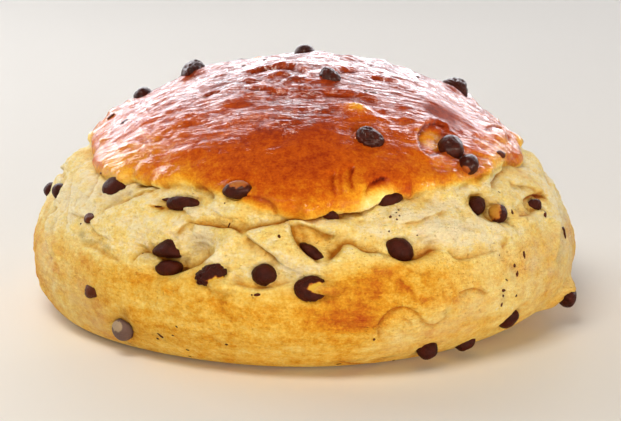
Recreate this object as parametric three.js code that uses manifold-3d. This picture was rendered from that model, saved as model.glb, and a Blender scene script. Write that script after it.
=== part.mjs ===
// A round brioche with chocolate drops, in millimetres, +Z up. The loaf stands on its flat baked base at
// z = 0. The middle of its belly is over the origin, and its front, which the photograph shows, faces -Y.
import * as THREE from "three";
import { mergeVertices } from "three/addons/utils/BufferGeometryUtils.js";
import Module from "manifold-3d";

const wasm = await Module();
wasm.setup();
const radians = THREE.MathUtils.degToRad;

// ---- Driving dimensions ----
const WIDTH = 182.6; // across the belly, left to right
const DEPTH = 176; // front to back
const HEIGHT = 83; // from the base to the top of the dome
const BELLY = 22.5; // height of the widest line
const DROP = 8.4; // across the foot of a whole chocolate drop
const GAP = 0.55; // left between a drop and the pocket that it sits in

// The dome and the underside are superellipses. A lower power is more pointed, a higher one fuller.
const DOME_POWER = { left: 1.7, right: 1.66 };
const UNDER_POWER = { left: 2.75, right: 2.15 };
const UNDER_REACH = { left: 37, right: 35 }; // how far the underside would go down if the base didn't cut it
// How the dough spread unevenly: waves round the belly, each with its count, depth and angle in degrees.
const SPREAD = [
  [2, 0.8, 40],
  [3, 0.8, 200],
  [5, 0.6, 95],
];

// The glazed cap stands over the torn dough below it.
const CAP_PROUD = 2.6; // how far the cap's edge stands out
const CAP_EDGE = 5; // over how long a stretch it rounds off
const CAP_FLATTENS = 0.6; // how much of that the crown of the cap has lost
const CAP_BLENDS = 45; // how far above the edge the crown begins
const TEAR_WIDTH = 3.6; // the furrow under the cap's edge
const TURN = Math.PI; // the back repeats the front's folds, turned half round

const LOAF_DETAIL = 17; // cuts along each edge of the icosahedron that the loaf is pulled from
const CROWDING = radians(20); // how far its corners move towards the torn band
const CROWD_RISE = radians(7); // how far they move up from the base
const DROP_SIDES = 8; // round a chocolate drop
const BACK_DROPS = 22; // chocolate drops that the photograph doesn't show
const SPACING = 15; // between any two of them
const FACING_AWAY = 0.22; // how far, as a cosine, the dough under them turns away from the photograph's view
const SEED = 11;

// ---- The view in which the places below were read ----
// A place is a pixel of the photograph, 621 wide and 421 high, and seen() finds it on the loaf.
const VIEW = { elevation: 16, distance: 800, mmPerPixel: 0.34, column: 306, row: 186, height: 40 };

// The lower edge of the glazed cap, from left to right. tear is how deep the furrow under it is, in mm.
const CAP_LINE = [
  { at: [93, 139], tear: 3.5 },
  { at: [103, 172], tear: 2.5 },
  { at: [128, 178], tear: 3.0 },
  { at: [152, 180], tear: 2.5 },
  { at: [185, 186], tear: 0.6 },
  { at: [230, 198], tear: 0.5 },
  { at: [268, 211], tear: 0.8 },
  { at: [300, 214], tear: 2.2 },
  { at: [345, 203], tear: 2.8 },
  { at: [400, 193], tear: 2.4 },
  { at: [440, 187], tear: 1.2 },
  { at: [480, 178], tear: 1.0 },
  { at: [503, 163], tear: 1.6 },
  { at: [512, 147], tear: 3.6 },
];

// Folds and tears in the dough. depth and width are in mm, and lift raises the edge on one side of the line,
// the upper side where it is positive and the lower where it is negative.
const FOLDS = [
  // the lip of the baked band, which curls up over the pale dough
  {
    line: [[143, 262], [152, 270], [170, 276], [190, 273], [205, 265], [218, 250]],
    depth: 2.6,
    width: 3.2,
    lift: -1.8,
  },
  { line: [[96, 250], [112, 259], [127, 262], [143, 259]], depth: 1.2, width: 3, lift: -0.9 },
  {
    line: [[291, 228], [295, 240], [303, 252], [313, 261], [325, 264], [338, 258], [345, 247]],
    depth: 1.2,
    width: 3,
    lift: -1.6,
  },
  { line: [[345, 247], [354, 246], [362, 252], [371, 256], [388, 255]], depth: 1.5, width: 3, lift: -0.8 },
  { line: [[388, 256], [398, 262], [412, 263], [425, 260], [437, 251]], depth: 1.2, width: 3, lift: -1.6 },
  // tears in the pale dough
  { line: [[184, 218], [205, 229], [222, 233], [243, 238]], depth: 2.4, width: 3.2, lift: -0.6 },
  { line: [[243, 238], [255, 245], [268, 252], [281, 262]], depth: 1.8, width: 3, lift: 1.0 },
  { line: [[400, 227], [420, 221], [438, 214], [455, 213]], depth: 1.6, width: 3, lift: 0.5 },
  // the crease that runs on from the furrow under the cap
  {
    line: [[243, 237], [262, 231], [290, 225], [321, 214], [350, 210], [381, 205]],
    depth: 2.4,
    width: 3,
    lift: 1.0,
  },
  // a strand pulled tight between the cap and the dough
  { line: [[484, 178], [487, 190], [497, 198], [507, 207], [512, 220]], depth: -2.2, width: 2.6, lift: 0 },
  // folds down the two ends
  { line: [[66, 150], [57, 175], [53, 205], [50, 232], [52, 262]], depth: 1.6, width: 3.4, lift: 0.5 },
  { line: [[545, 172], [556, 200], [560, 230], [556, 262]], depth: 1.5, width: 3.4, lift: -0.6 },
];

// Swellings, and hollows where the rise is negative: the middle, the half lengths along and across in mm, the
// turn in degrees and the rise in mm.
const SWELLINGS = [
  { at: [96, 138], half: [4.5, 3.5], turn: 0, rise: 2.6 },
  { at: [116, 104], half: [9, 6], turn: 40, rise: 3.2 },
  { at: [506, 134], half: [8, 8], turn: 0, rise: -2.0 },
  { at: [78, 158], half: [9, 9], turn: 60, rise: 1.8 },
  { at: [125, 221], half: [14, 8], turn: 10, rise: 1.8 },
  { at: [133, 187], half: [8, 3.4], turn: 4, rise: -2.4 },
  { at: [172, 256], half: [11, 6.5], turn: -10, rise: -3.0 },
  { at: [202, 255], half: [8, 4.6], turn: 30, rise: -2.2 },
  { at: [205, 212], half: [12, 4.5], turn: -12, rise: 1.2 },
  { at: [228, 258], half: [9, 6], turn: 40, rise: 1.4 },
  { at: [270, 235], half: [10, 4], turn: 20, rise: 1.5 },
  { at: [262, 276], half: [11, 5.5], turn: 0, rise: -2.0 },
  { at: [321, 246], half: [7.5, 5.5], turn: -25, rise: -4.2 },
  { at: [352, 231], half: [10, 6], turn: 5, rise: 1.8 },
  { at: [410, 250], half: [9, 4.6], turn: 10, rise: -3.0 },
  { at: [430, 233], half: [13, 5], turn: 15, rise: 1.4 },
  { at: [489, 210], half: [8, 5.5], turn: -20, rise: -2.8 },
  { at: [536, 206], half: [9, 4], turn: 0, rise: -1.8 },
  { at: [530, 160], half: [12, 9], turn: -40, rise: 2.6 },
  { at: [356, 113], half: [3.8, 2.8], turn: 0, rise: 1.6 },
  { at: [428, 143], half: [4.6, 4.4], turn: 0, rise: -2.6 },
  { at: [300, 76], half: [10, 12], turn: 0, rise: 1.2 },
  { at: [415, 112], half: [16, 14], turn: -25, rise: 1.4 },
  { at: [210, 100], half: [22, 16], turn: 20, rise: 1.2 },
  { at: [560, 290], half: [3, 3.4], turn: 0, rise: 2.2 },
  { at: [404, 330], half: [7, 6], turn: 0, rise: 0.8 },
  { at: [118, 285], half: [18, 9], turn: -20, rise: 1.2 },
  { at: [420, 305], half: [22, 9], turn: 8, rise: 0.9 },
];

// The chocolate drops that show in the photograph. size is length, width and depth in mm, turn is how many
// degrees the length leans from level, sink is how far the middle lies below the dough, and form is how it
// softened.
const FRONT_DROPS = [
  { at: [58, 190], size: [7, 5.4, 5], turn: 85, sink: 0.8, form: "softened" },
  { at: [43, 188], size: [6, 6, 5], turn: 0, sink: 0.4, form: "softened" },
  { at: [116, 187.5], size: [8.6, 7.2, 5.6], turn: 25, sink: -0.1, form: "softened" },
  { at: [183, 204.5], size: [11.6, 4.6, 4.6], turn: -10, sink: 0.4, form: "softened" },
  { at: [170, 246.5], size: [7.6, 9.4, 6.4], turn: 72, sink: 0.1, form: "whole" },
  { at: [172, 268.5], size: [9.2, 5.2, 5.4], turn: 0, sink: 0.1, form: "softened" },
  { at: [237.5, 190.5], size: [10, 6.2, 4.6], turn: -3, sink: 0.6, form: "softened" },
  { at: [211, 277], size: [11, 6.4, 4.4], turn: 14, sink: 0.7, form: "softened" },
  { at: [265, 277], size: [8.4, 7.2, 6], turn: 0, sink: 0, form: "softened" },
  { at: [330, 218], size: [6.4, 4, 4.4], turn: -20, sink: -0.4, form: "softened" },
  { at: [313, 255.5], size: [9.6, 3.8, 4.2], turn: -38, sink: 0.3, form: "softened" },
  { at: [391, 201], size: [9, 4.4, 4.4], turn: 24, sink: 0.4, form: "softened" },
  { at: [400.5, 251], size: [9.2, 7.4, 6.2], turn: -25, sink: 0.1, form: "softened" },
  { at: [311.5, 291.5], size: [10.6, 8, 4.2], turn: 4, sink: 1.0, form: "softened" },
  { at: [193, 73], size: [8.4, 7.4, 6.8], turn: 75, sink: -1.4, form: "whole" },
  { at: [329, 77], size: [7.6, 6.8, 5.4], turn: -30, sink: -0.4, form: "softened" },
  { at: [305, 51], size: [7.6, 7, 5], turn: 0, sink: 0.3, form: "softened" },
  { at: [367, 138], size: [9.2, 8, 5.8], turn: -25, sink: 0.2, form: "softened" },
  { at: [454, 89], size: [8, 8.4, 7], turn: 40, sink: -1.2, form: "whole" },
  { at: [451, 148], size: [9.4, 9, 6.6], turn: -30, sink: 0.0, form: "softened" },
  { at: [469.5, 165.5], size: [7.6, 6.6, 5.6], turn: 80, sink: 0.1, form: "softened" },
  { at: [478, 206.5], size: [7.4, 5.4, 5], turn: 70, sink: 0.3, form: "softened" },
  { at: [499, 214], size: [6.4, 6, 4.8], turn: 80, sink: 0.5, form: "softened" },
  { at: [535, 205.5], size: [5.8, 4, 4], turn: 12, sink: 0.3, form: "softened" },
  { at: [567, 292], size: [7, 7.4, 6.6], turn: -20, sink: -1.8, form: "whole" },
  { at: [511, 323], size: [8.4, 5.2, 4.2], turn: 40, sink: 0.8, form: "softened" },
  { at: [123, 331], size: [7.6, 6.4, 4.2], turn: 80, sink: 0.9, form: "softened" },
  { at: [427, 351], size: [7, 6, 6], turn: 10, sink: -0.2, form: "softened" },
  { at: [465, 345], size: [7.4, 4.2, 4.4], turn: 15, sink: 0.0, form: "softened" },
  { at: [141, 93], size: [7, 6.4, 4.6], turn: 0, sink: 0.4, form: "softened" },
];

const COLOURS = {
  loaf: { color: 0xdfa950, roughness: 0.55, metalness: 0 },
  drop: { color: 0x3c1c12, roughness: 0.42, metalness: 0 },
};

// ---- Small helpers ----
const vec = (x, y, z) => new THREE.Vector3(x, y, z);
const mix = THREE.MathUtils.lerp;
const bell = (x) => Math.exp(-x * x);
const MIDDLE = vec(0, 0, BELLY);

// The direction that lies azimuth round from +X and rise above level.
function towards(azimuth, rise) {
  return vec(Math.cos(azimuth) * Math.cos(rise), Math.sin(azimuth) * Math.cos(rise), Math.sin(rise));
}

// Rises smoothly from 0 at a to 1 at b.
function ease(x, a, b) {
  const t = THREE.MathUtils.clamp((x - a) / (b - a), 0, 1);
  return t * t * (3 - 2 * t);
}

// Numbers from 0 to 1 that are the same on every run.
function seededRandom(seed) {
  let state = seed;
  return () => {
    state = (state * 1664525 + 1013904223) % 4294967296;
    return state / 4294967296;
  };
}

// ---- The bare loaf ----
// How far the dough reaches from MIDDLE in a direction, before folds, cap and hollows.
function bareReach(direction) {
  const azimuth = Math.atan2(direction.y, direction.x);
  const left = (1 - Math.cos(azimuth)) / 2;
  const oval = 1 / Math.hypot(Math.cos(azimuth) / (WIDTH / 2), Math.sin(azimuth) / (DEPTH / 2));
  const wave = ([count, depth, angle]) => depth * Math.cos(count * azimuth + radians(angle));
  const girth = oval + SPREAD.map(wave).reduce((sum, part) => sum + part, 0);
  const sided = (sizes, share) => mix(sizes.right, sizes.left, share);
  const up = direction.z >= 0;
  const power = up ? sided(DOME_POWER, left) : sided(UNDER_POWER, left ** 3);
  const tall = up ? HEIGHT - BELLY : sided(UNDER_REACH, left ** 3);
  const across = Math.hypot(direction.x, direction.y) / girth;
  const along = Math.abs(direction.z) / tall;
  return (across ** power + along ** power) ** (-1 / power);
}

// ---- Reading places from the photograph ----
const tilt = radians(VIEW.elevation);
const FORWARD = vec(0, Math.cos(tilt), -Math.sin(tilt));
const UPWARD = vec(0, Math.sin(tilt), Math.cos(tilt));
const RIGHTWARD = vec(1, 0, 0);
const EYE = vec(0, 0, VIEW.height).addScaledVector(FORWARD, -VIEW.distance);

// The point of a surface that a pixel shows, or the nearest one where the pixel just misses it.
function seen([column, row], surface) {
  const ray = FORWARD.clone().multiplyScalar(VIEW.distance);
  ray.addScaledVector(RIGHTWARD, (column - VIEW.column) * VIEW.mmPerPixel);
  ray.addScaledVector(UPWARD, (VIEW.row - row) * VIEW.mmPerPixel).normalize();
  const clearance = (far) => {
    const offset = EYE.clone().addScaledVector(ray, far).sub(MIDDLE);
    return offset.length() - surface(offset.clone().normalize());
  };
  const STEP = 0.4;
  let nearest = VIEW.distance - WIDTH;
  let least = clearance(nearest);
  for (let far = nearest; far < VIEW.distance + WIDTH / 2 && least > 0; far += STEP) {
    const gap = clearance(far);
    if (gap < least) [nearest, least] = [far, gap];
  }
  const direction = EYE.clone().addScaledVector(ray, nearest).sub(MIDDLE).normalize();
  return direction.clone().multiplyScalar(surface(direction)).add(MIDDLE);
}

// Right and up as the photograph shows them, laid along the surface at a point, and the way out of it.
function frameAt(point) {
  const NUDGE = 0.5;
  const height = (p) => {
    const offset = p.clone().sub(MIDDLE);
    return offset.length() - bareReach(offset.normalize());
  };
  const moved = (axis, far) => point.clone().addScaledVector(axis, far);
  const slope = (axis) => height(moved(axis, NUDGE)) - height(moved(axis, -NUDGE));
  const out = vec(slope(vec(1, 0, 0)), slope(vec(0, 1, 0)), slope(vec(0, 0, 1))).normalize();
  const facing = point.y > 0 ? RIGHTWARD.clone().negate() : RIGHTWARD;
  const side = facing.clone().addScaledVector(out, -facing.dot(out)).normalize();
  return { out, right: side, up: out.clone().cross(side) };
}

// The same place on the back of the loaf.
function turned(point) {
  const direction = point.clone().sub(MIDDLE).applyAxisAngle(vec(0, 0, 1), TURN).normalize();
  return direction.clone().multiplyScalar(bareReach(direction)).add(MIDDLE);
}

const frontAndBack = (place) => {
  const front = seen(place, bareReach);
  return [front, turned(front)];
};

// ---- Relief ----
// The cap's edge as azimuth, height and furrow depth, once round the loaf.
const capEdge = CAP_LINE.flatMap(({ at, tear }) =>
  frontAndBack(at).map((point) => ({ azimuth: Math.atan2(point.y, point.x), height: point.z, tear })),
).sort((a, b) => a.azimuth - b.azimuth);

function capEdgeAt(azimuth) {
  const after = capEdge.findIndex((place) => place.azimuth > azimuth);
  const next = capEdge[after < 0 ? 0 : after];
  const last = capEdge.at(after < 0 ? -1 : after - 1);
  const turnBy = (angle) => (angle + 4 * Math.PI) % (2 * Math.PI);
  const share = ease(turnBy(azimuth - last.azimuth) / turnBy(next.azimuth - last.azimuth), 0, 1);
  return { height: mix(last.height, next.height, share), tear: mix(last.tear, next.tear, share) };
}

const SLOPE_LENGTH = 1.45; // along the dough for each millimetre of height, at the cap's edge

function capRelief(point) {
  const edge = capEdgeAt(Math.atan2(point.y, point.x));
  const above = (point.z - edge.height) * SLOPE_LENGTH;
  const flattening = CAP_FLATTENS * ease(above, CAP_EDGE, CAP_BLENDS);
  const cap = CAP_PROUD * ease(above, -CAP_EDGE / 2, CAP_EDGE / 2) * (1 - flattening);
  return cap - edge.tear * bell((above + TEAR_WIDTH) / TEAR_WIDTH);
}

const folds = FOLDS.flatMap(({ line, ...fold }) => {
  const sides = line.map(frontAndBack);
  return [0, 1].map((side) => ({ ...fold, points: sides.map((pair) => pair[side]) }));
});

// How far a point lies from a fold, with the sign of the side that it lies on.
function distanceTo(points, point) {
  let best = { away: Infinity, side: 1 };
  for (let i = 1; i < points.length; i++) {
    const along = points[i].clone().sub(points[i - 1]);
    const offset = point.clone().sub(points[i - 1]);
    const share = THREE.MathUtils.clamp(offset.dot(along) / along.lengthSq(), 0, 1);
    const away = offset.clone().addScaledVector(along, -share).length();
    const side = Math.sign(along.cross(offset).dot(point.clone().sub(MIDDLE))) || 1;
    if (away < best.away) best = { away, side };
  }
  return best;
}

function foldRelief({ points, depth, width, lift }, point) {
  const { away, side } = distanceTo(points, point);
  if (away > 4 * width) return 0;
  const raised = side * Math.sign(lift) > 0 ? Math.abs(lift) : 0;
  const share = away / width;
  return raised * share * Math.exp((1 - share * share) / 2) - depth * bell(share);
}

const swellings = SWELLINGS.flatMap(({ at, half, turn, rise }) =>
  frontAndBack(at).map((point) => {
    const { right, up } = frameAt(point);
    const angle = radians(turn);
    const along = right.clone().multiplyScalar(Math.cos(angle)).addScaledVector(up, Math.sin(angle));
    const across = up.clone().multiplyScalar(Math.cos(angle)).addScaledVector(right, -Math.sin(angle));
    return { point, half, rise, along, across };
  }),
);

function swellingRelief({ point: middle, half, rise, along, across }, point) {
  const offset = point.clone().sub(middle);
  if (offset.length() > 3 * Math.max(...half)) return 0;
  return rise * Math.exp(-((offset.dot(along) / half[0]) ** 2) - (offset.dot(across) / half[1]) ** 2);
}

const SKIRT = 9; // the relief dies out over this height, so that the base stays flat

// How far the finished dough reaches from MIDDLE.
function reach(direction) {
  const bare = bareReach(direction);
  const point = direction.clone().multiplyScalar(bare).add(MIDDLE);
  const relief =
    capRelief(point) +
    folds.reduce((sum, fold) => sum + foldRelief(fold, point), 0) +
    swellings.reduce((sum, swelling) => sum + swellingRelief(swelling, point), 0);
  return bare + relief * ease(point.z, 0, SKIRT);
}

// ---- Solids ----
function solidFrom(geometry) {
  geometry.deleteAttribute("normal");
  geometry.deleteAttribute("uv");
  const merged = mergeVertices(geometry, 1e-4);
  const vertProperties = new Float32Array(merged.attributes.position.array);
  const triVerts = new Uint32Array(merged.index.array);
  return new wasm.Manifold(new wasm.Mesh({ numProp: 3, vertProperties, triVerts }));
}

function geometryOf(solid) {
  const { vertProperties, triVerts } = solid.getMesh();
  const geometry = new THREE.BufferGeometry();
  geometry.setAttribute("position", new THREE.BufferAttribute(new Float32Array(vertProperties), 3));
  geometry.setIndex(new THREE.BufferAttribute(new Uint32Array(triVerts), 1));
  geometry.computeVertexNormals();
  return geometry;
}

// Crowds the ball's corners towards the torn band, where the folds are, and away from the crown and the base.
function crowded(corner) {
  const rise = Math.asin(THREE.MathUtils.clamp(corner.z / corner.length(), -1, 1));
  const moved = rise - CROWDING * Math.sin(2 * rise) + CROWD_RISE * Math.cos(rise);
  const azimuth = Math.atan2(corner.y, corner.x);
  return towards(azimuth, moved);
}

// The dough: a ball of triangles, each corner pulled out to the loaf's surface and stopped by the table.
function loafGeometry() {
  const ball = new THREE.IcosahedronGeometry(1, LOAF_DETAIL);
  const corners = ball.getAttribute("position");
  for (let i = 0; i < corners.count; i++) {
    const direction = crowded(vec(0, 0, 0).fromBufferAttribute(corners, i));
    const point = direction.clone().multiplyScalar(reach(direction)).add(MIDDLE);
    if (point.z < 0) point.copy(direction).multiplyScalar(BELLY / -direction.z).add(MIDDLE).setZ(0);
    corners.setXYZ(i, point.x, point.y, point.z);
  }
  return ball;
}

// Half outlines of a drop, from foot to tip, as shares of its radius and of its height.
const OUTLINES = {
  whole: [[0, 0], [0.96, 0.08], [0.84, 0.48], [0.36, 0.8], [0, 1]],
  softened: [[0, 0], [0.84, 0.14], [0.98, 0.52], [0.6, 0.9], [0, 1]],
};

// A drop that stands on the middle of its own box, with its length along x, width along y and height along z.
function dropGeometry(form) {
  const outline = OUTLINES[form].map(([radius, height]) => new THREE.Vector2(radius / 2, height - 0.5));
  return new THREE.LatheGeometry(outline, DROP_SIDES).rotateX(Math.PI / 2);
}

// A whole drop lies on its side with its tip along its length. A softened one lies flat, foot down.
function dropPlacing({ size: [length, width, depth], turn, sink, form, back }) {
  return (place) => {
    const point = back ? place : seen(place, reach);
    const { out, right, up } = frameAt(point);
    const angle = radians(turn);
    const along = right.clone().multiplyScalar(Math.cos(angle)).addScaledVector(up, Math.sin(angle));
    const across = out.clone().cross(along);
    const axes = form === "whole" ? [across, out, along] : [along, across, out];
    const extents = form === "whole" ? [width, depth, length] : [length, width, depth];
    return { middle: point.clone().addScaledVector(out, -sink), axes, extents };
  };
}

function dropMesh(name, drop) {
  const { middle, axes, extents } = dropPlacing(drop)(drop.at);
  const mesh = new THREE.Mesh(dropGeometry(drop.form), new THREE.MeshStandardMaterial(COLOURS.drop));
  mesh.name = name;
  mesh.geometry.scale(...extents);
  mesh.setRotationFromMatrix(new THREE.Matrix4().makeBasis(...axes));
  mesh.position.copy(middle);
  mesh.userData.extents = extents;
  mesh.updateMatrixWorld(true);
  return mesh;
}

// The hole in the dough that a drop sits in: the drop's own form, GAP larger on every side.
function pocketOf(mesh) {
  const geometry = mesh.geometry.clone();
  geometry.scale(...mesh.userData.extents.map((extent) => 1 + (2 * GAP) / extent));
  return solidFrom(geometry.applyMatrix4(mesh.matrixWorld));
}

// Drops on the back, by a seeded rule: spaced apart, most of them in the torn band, and none where the
// photograph would show it.
function backDrops() {
  const random = seededRandom(SEED);
  const between = (low, high) => mix(low, high, random());
  const drops = [];
  while (drops.length < BACK_DROPS) {
    const torn = drops.length % 5 < 3;
    const azimuth = radians(between(0, 180));
    const rise = radians(torn ? between(6, 26) : between(-10, 62));
    const direction = towards(azimuth, rise);
    const at = direction.clone().multiplyScalar(reach(direction)).add(MIDDLE);
    const hidden = frameAt(at).out.dot(FORWARD) > FACING_AWAY;
    if (!hidden || drops.some((other) => other.at.distanceTo(at) < SPACING)) continue;
    const form = drops.length % 5 === 2 ? "whole" : "softened";
    const length = DROP * between(0.7, 1.1);
    const breadth = form === "whole" ? 1 : between(0.5, 0.95);
    const depth = form === "whole" ? 0.8 : 0.62;
    const size = [length, length * breadth, length * depth];
    const sink = form === "whole" ? -0.4 : between(0.1, 0.6);
    drops.push({ at, size, turn: between(-60, 60), sink, form, back: true });
  }
  return drops;
}

// ---- Assembly ----
const brioche = new THREE.Group();
const dropName = (i) => `drop_${String(i + 1).padStart(2, "0")}`;
const drops = [...FRONT_DROPS, ...backDrops()].map((drop, i) => dropMesh(dropName(i), drop));
const dough = drops.reduce((solid, drop) => solid.subtract(pocketOf(drop)), solidFrom(loafGeometry()));
const loaf = new THREE.Mesh(geometryOf(dough), new THREE.MeshStandardMaterial(COLOURS.loaf));
loaf.name = "loaf";
brioche.add(loaf, ...drops);

export default brioche;
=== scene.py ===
"""The looks of a round brioche with chocolate drops: its dough, drops and flecks, and the studio around them.

Lengths inside the classes are millimetres and angles degrees, as a baker would measure the loaf. Meshes are
made in metres. The loaf stands on its flat base at z = 0, and its front, the side that the photograph shows,
faces -Y. Marks, such as folds and patches, are placed by the pixel of the photograph that shows their middle.
"""

import logging
import math
from dataclasses import dataclass, field, replace
from enum import Enum
from itertools import pairwise
from typing import Iterable, Sequence

import bmesh
import bpy
import numpy as np
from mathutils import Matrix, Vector
from mathutils.bvhtree import BVHTree

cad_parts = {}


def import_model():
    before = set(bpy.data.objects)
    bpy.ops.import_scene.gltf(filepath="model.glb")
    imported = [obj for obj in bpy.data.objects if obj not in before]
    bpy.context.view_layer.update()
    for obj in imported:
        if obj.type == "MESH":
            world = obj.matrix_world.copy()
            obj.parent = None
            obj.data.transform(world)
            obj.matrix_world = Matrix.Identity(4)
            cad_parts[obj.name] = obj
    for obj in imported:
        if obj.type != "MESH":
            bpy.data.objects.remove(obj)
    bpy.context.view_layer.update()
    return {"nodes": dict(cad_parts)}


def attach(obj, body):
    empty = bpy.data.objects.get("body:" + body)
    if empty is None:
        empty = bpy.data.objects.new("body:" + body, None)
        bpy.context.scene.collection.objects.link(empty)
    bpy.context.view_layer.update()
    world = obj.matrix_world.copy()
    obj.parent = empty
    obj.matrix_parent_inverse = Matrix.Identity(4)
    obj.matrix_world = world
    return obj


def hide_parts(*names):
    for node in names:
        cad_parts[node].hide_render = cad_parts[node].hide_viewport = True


log = logging.getLogger("brioche")

Array = np.ndarray
Pixel = tuple[float, float]

MM = 0.001  # metres in a millimetre
BODY = "root"


# ---- Small numeric helpers ----
def ease(x: Array | float, low: float, high: float) -> Array:
    """Rises smoothly from 0 at low to 1 at high."""
    t = np.clip((np.asarray(x, float) - low) / (high - low), 0, 1)
    return t * t * (3 - 2 * t)


def bell(x: Array | float) -> Array:
    """Falls smoothly from 1 at 0, to about a third at 1 and to nothing by 3."""
    return np.exp(-np.square(x))


def mix(low: Array | float, high: Array | float, share: Array | float) -> Array:
    """Goes from low to high as share goes from 0 to 1."""
    return low + (high - low) * share


def unit(vectors: Array) -> Array:
    """Vectors of the same directions and length 1."""
    return vectors / np.linalg.norm(vectors, axis=-1, keepdims=True)


def dot(a: Array, b: Array) -> Array:
    """The dot product of each pair of vectors."""
    return np.sum(a * b, axis=-1)


class LatticeNoise:
    """Smooth seeded noise in space, from about -1 to 1, that changes over a length of 1."""

    CELLS = 256  # along each axis, before it repeats
    GAIN = 1.6  # brings it up to about -1 to 1
    APART = 17.3  # keeps a finer layer clear of the one under it

    def __init__(self, seed: int) -> None:
        """Draws the slopes of one pattern.

        Args:
            seed: picks the pattern.
        """
        random = np.random.default_rng(seed)
        self.order = random.permutation(self.CELLS)
        self.slopes = unit(random.normal(size=(self.CELLS, 3)))

    def __call__(self, points: Array) -> Array:
        """Looks the noise up.

        Args:
            points: places, one to a row.

        Returns:
            A number for each place.
        """
        cell = np.floor(points).astype(int)
        inside = points - cell
        weight = inside * inside * inside * (inside * (inside * 6 - 15) + 10)
        total = np.zeros(len(points))
        for corner in np.ndindex(2, 2, 2):
            key = np.zeros(len(points), int)
            for index in ((cell + corner) % self.CELLS).T[::-1]:
                key = self.order[(index + key) % self.CELLS]
            share = np.prod(np.where(np.array(corner) == 1, weight, 1 - weight), axis=1)
            total += share * dot(self.slopes[key], inside - corner)
        return total * self.GAIN

    def layered(self, points: Array, layers: int) -> Array:
        """The noise with finer noise on top, each layer half as long and half as strong."""
        return sum(self(points * 2**i + self.APART * i) / 2**i for i in range(layers))


@dataclass(frozen=True)
class Waves:
    """A pattern of soft waves in the dough or in a drop.

    Attributes:
        seed: picks one pattern.
        length: over how many millimetres it changes, one for all ways or one each for X, Y and Z.
        layers: how many layers it has, each half as long as the one before.
    """

    seed: int
    length: float | tuple[float, float, float]
    layers: int = 3

    def at(self, places: Array) -> Array:
        """The pattern at each place, from about -1 to 1."""
        return LatticeNoise(self.seed).layered(places / np.array(self.length), self.layers)

    def numbered(self, number: int) -> "Waves":
        """Waves of the same kind in another pattern."""
        return replace(self, seed=self.seed + number)

    def three(self, places: Array) -> Array:
        """Three patterns, of this seed and the next two, as one vector to a place."""
        return np.stack([self.numbered(axis).at(places) for axis in range(3)], axis=1)


# ---- The photograph's view ----
@dataclass(frozen=True)
class PhotoView:
    """Where the photograph was taken from. Pixels are counted in its 621 by 421 frame.

    Attributes:
        elevation: degrees above the horizon.
        distance: from the lens to the point that column and row show.
        mm_per_pixel: scale at that point.
        column, row: the pixel that shows the point above the middle of the base, at height.
        height: of that point.
        size: the frame's width and height in pixels.
    """

    elevation: float = 16
    distance: float = 800
    mm_per_pixel: float = 0.34
    column: float = 306
    row: float = 186
    height: float = 40
    size: tuple[int, int] = (621, 421)

    @property
    def forward(self) -> Array:
        """The way that the lens looks."""
        tilt = math.radians(self.elevation)
        return np.array([0, math.cos(tilt), -math.sin(tilt)])

    @property
    def upward(self) -> Array:
        """The way that is up in the photograph."""
        tilt = math.radians(self.elevation)
        return np.array([0, math.sin(tilt), math.cos(tilt)])

    @property
    def eye(self) -> Array:
        """The place of the lens."""
        return np.array([0, 0, self.height]) - self.forward * self.distance

    def ray(self, pixel: Pixel) -> Array:
        """Finds the way that a pixel looks.

        Args:
            pixel: its column and row.

        Returns:
            The direction of its line of sight.
        """
        column, row = pixel
        right = np.array([1.0, 0, 0]) * (column - self.column) * self.mm_per_pixel
        up = self.upward * (self.row - row) * self.mm_per_pixel
        return unit(self.forward * self.distance + right + up)

    def pixel_of(self, points: Array) -> Array:
        """Finds where points show in the photograph.

        Args:
            points: places, one to a row.

        Returns:
            The column and row that show each.
        """
        offset = points - self.eye
        scale = self.distance / dot(offset, self.forward) / self.mm_per_pixel
        column = self.column + offset[..., 0] * scale
        row = self.row - dot(offset, self.upward) * scale
        return np.stack([column, row], axis=-1)


VIEW = PhotoView()


# ---- The loaf's form ----
@dataclass(frozen=True)
class Sided:
    """A size that differs between the loaf's left end and its right end."""

    left: float
    right: float

    def at(self, share: Array) -> Array:
        """The size where share is 1 at the left end and 0 at the right."""
        return mix(self.right, self.left, share)


@dataclass(frozen=True)
class Fold:
    """A crease or ridge in the dough, along a line of the photograph, with a lip along one side.

    Attributes:
        line: pixels from one end to the other.
        depth: how deep the crease is, negative for a ridge.
        width: over how long a stretch the lip rounds off.
        lift: how far the lip stands out, on the line's upper side or, if negative, on its lower side.
        hang: how far the lip leans over the crease.
        tan: how much browner its bottom is than the dough around it, partly painted shade.
    """

    line: Sequence[Pixel]
    depth: float
    width: float
    lift: float = 0
    hang: float = 0
    tan: float = 0


@dataclass(frozen=True)
class Swelling:
    """A rounded lump in the dough, or a hollow where rise is negative.

    Attributes:
        at: the pixel of its middle.
        half: half its length and half its width.
        turn: how many degrees its length leans from level.
        rise: how far it stands out.
        tan: how much browner it is than the dough around it; in a hollow this is painted shade.
        power: 2 for a soft edge, more for a flat floor with a steeper edge.
    """

    at: Pixel
    half: tuple[float, float]
    turn: float
    rise: float
    tan: float = 0
    power: float = 2


@dataclass(frozen=True)
class Patch:
    """A place where the dough has another shade, or where a film lies over a drop.

    Attributes:
        at, half, turn, power: as in Swelling.
        amount: how strong it is.
    """

    at: Pixel
    half: tuple[float, float]
    turn: float
    amount: float
    power: float = 2


@dataclass(frozen=True)
class EdgePoint:
    """A place on the lower edge of the cap, given by its pixel, and how deep the furrow below it is."""

    at: Pixel
    tear: float


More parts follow.
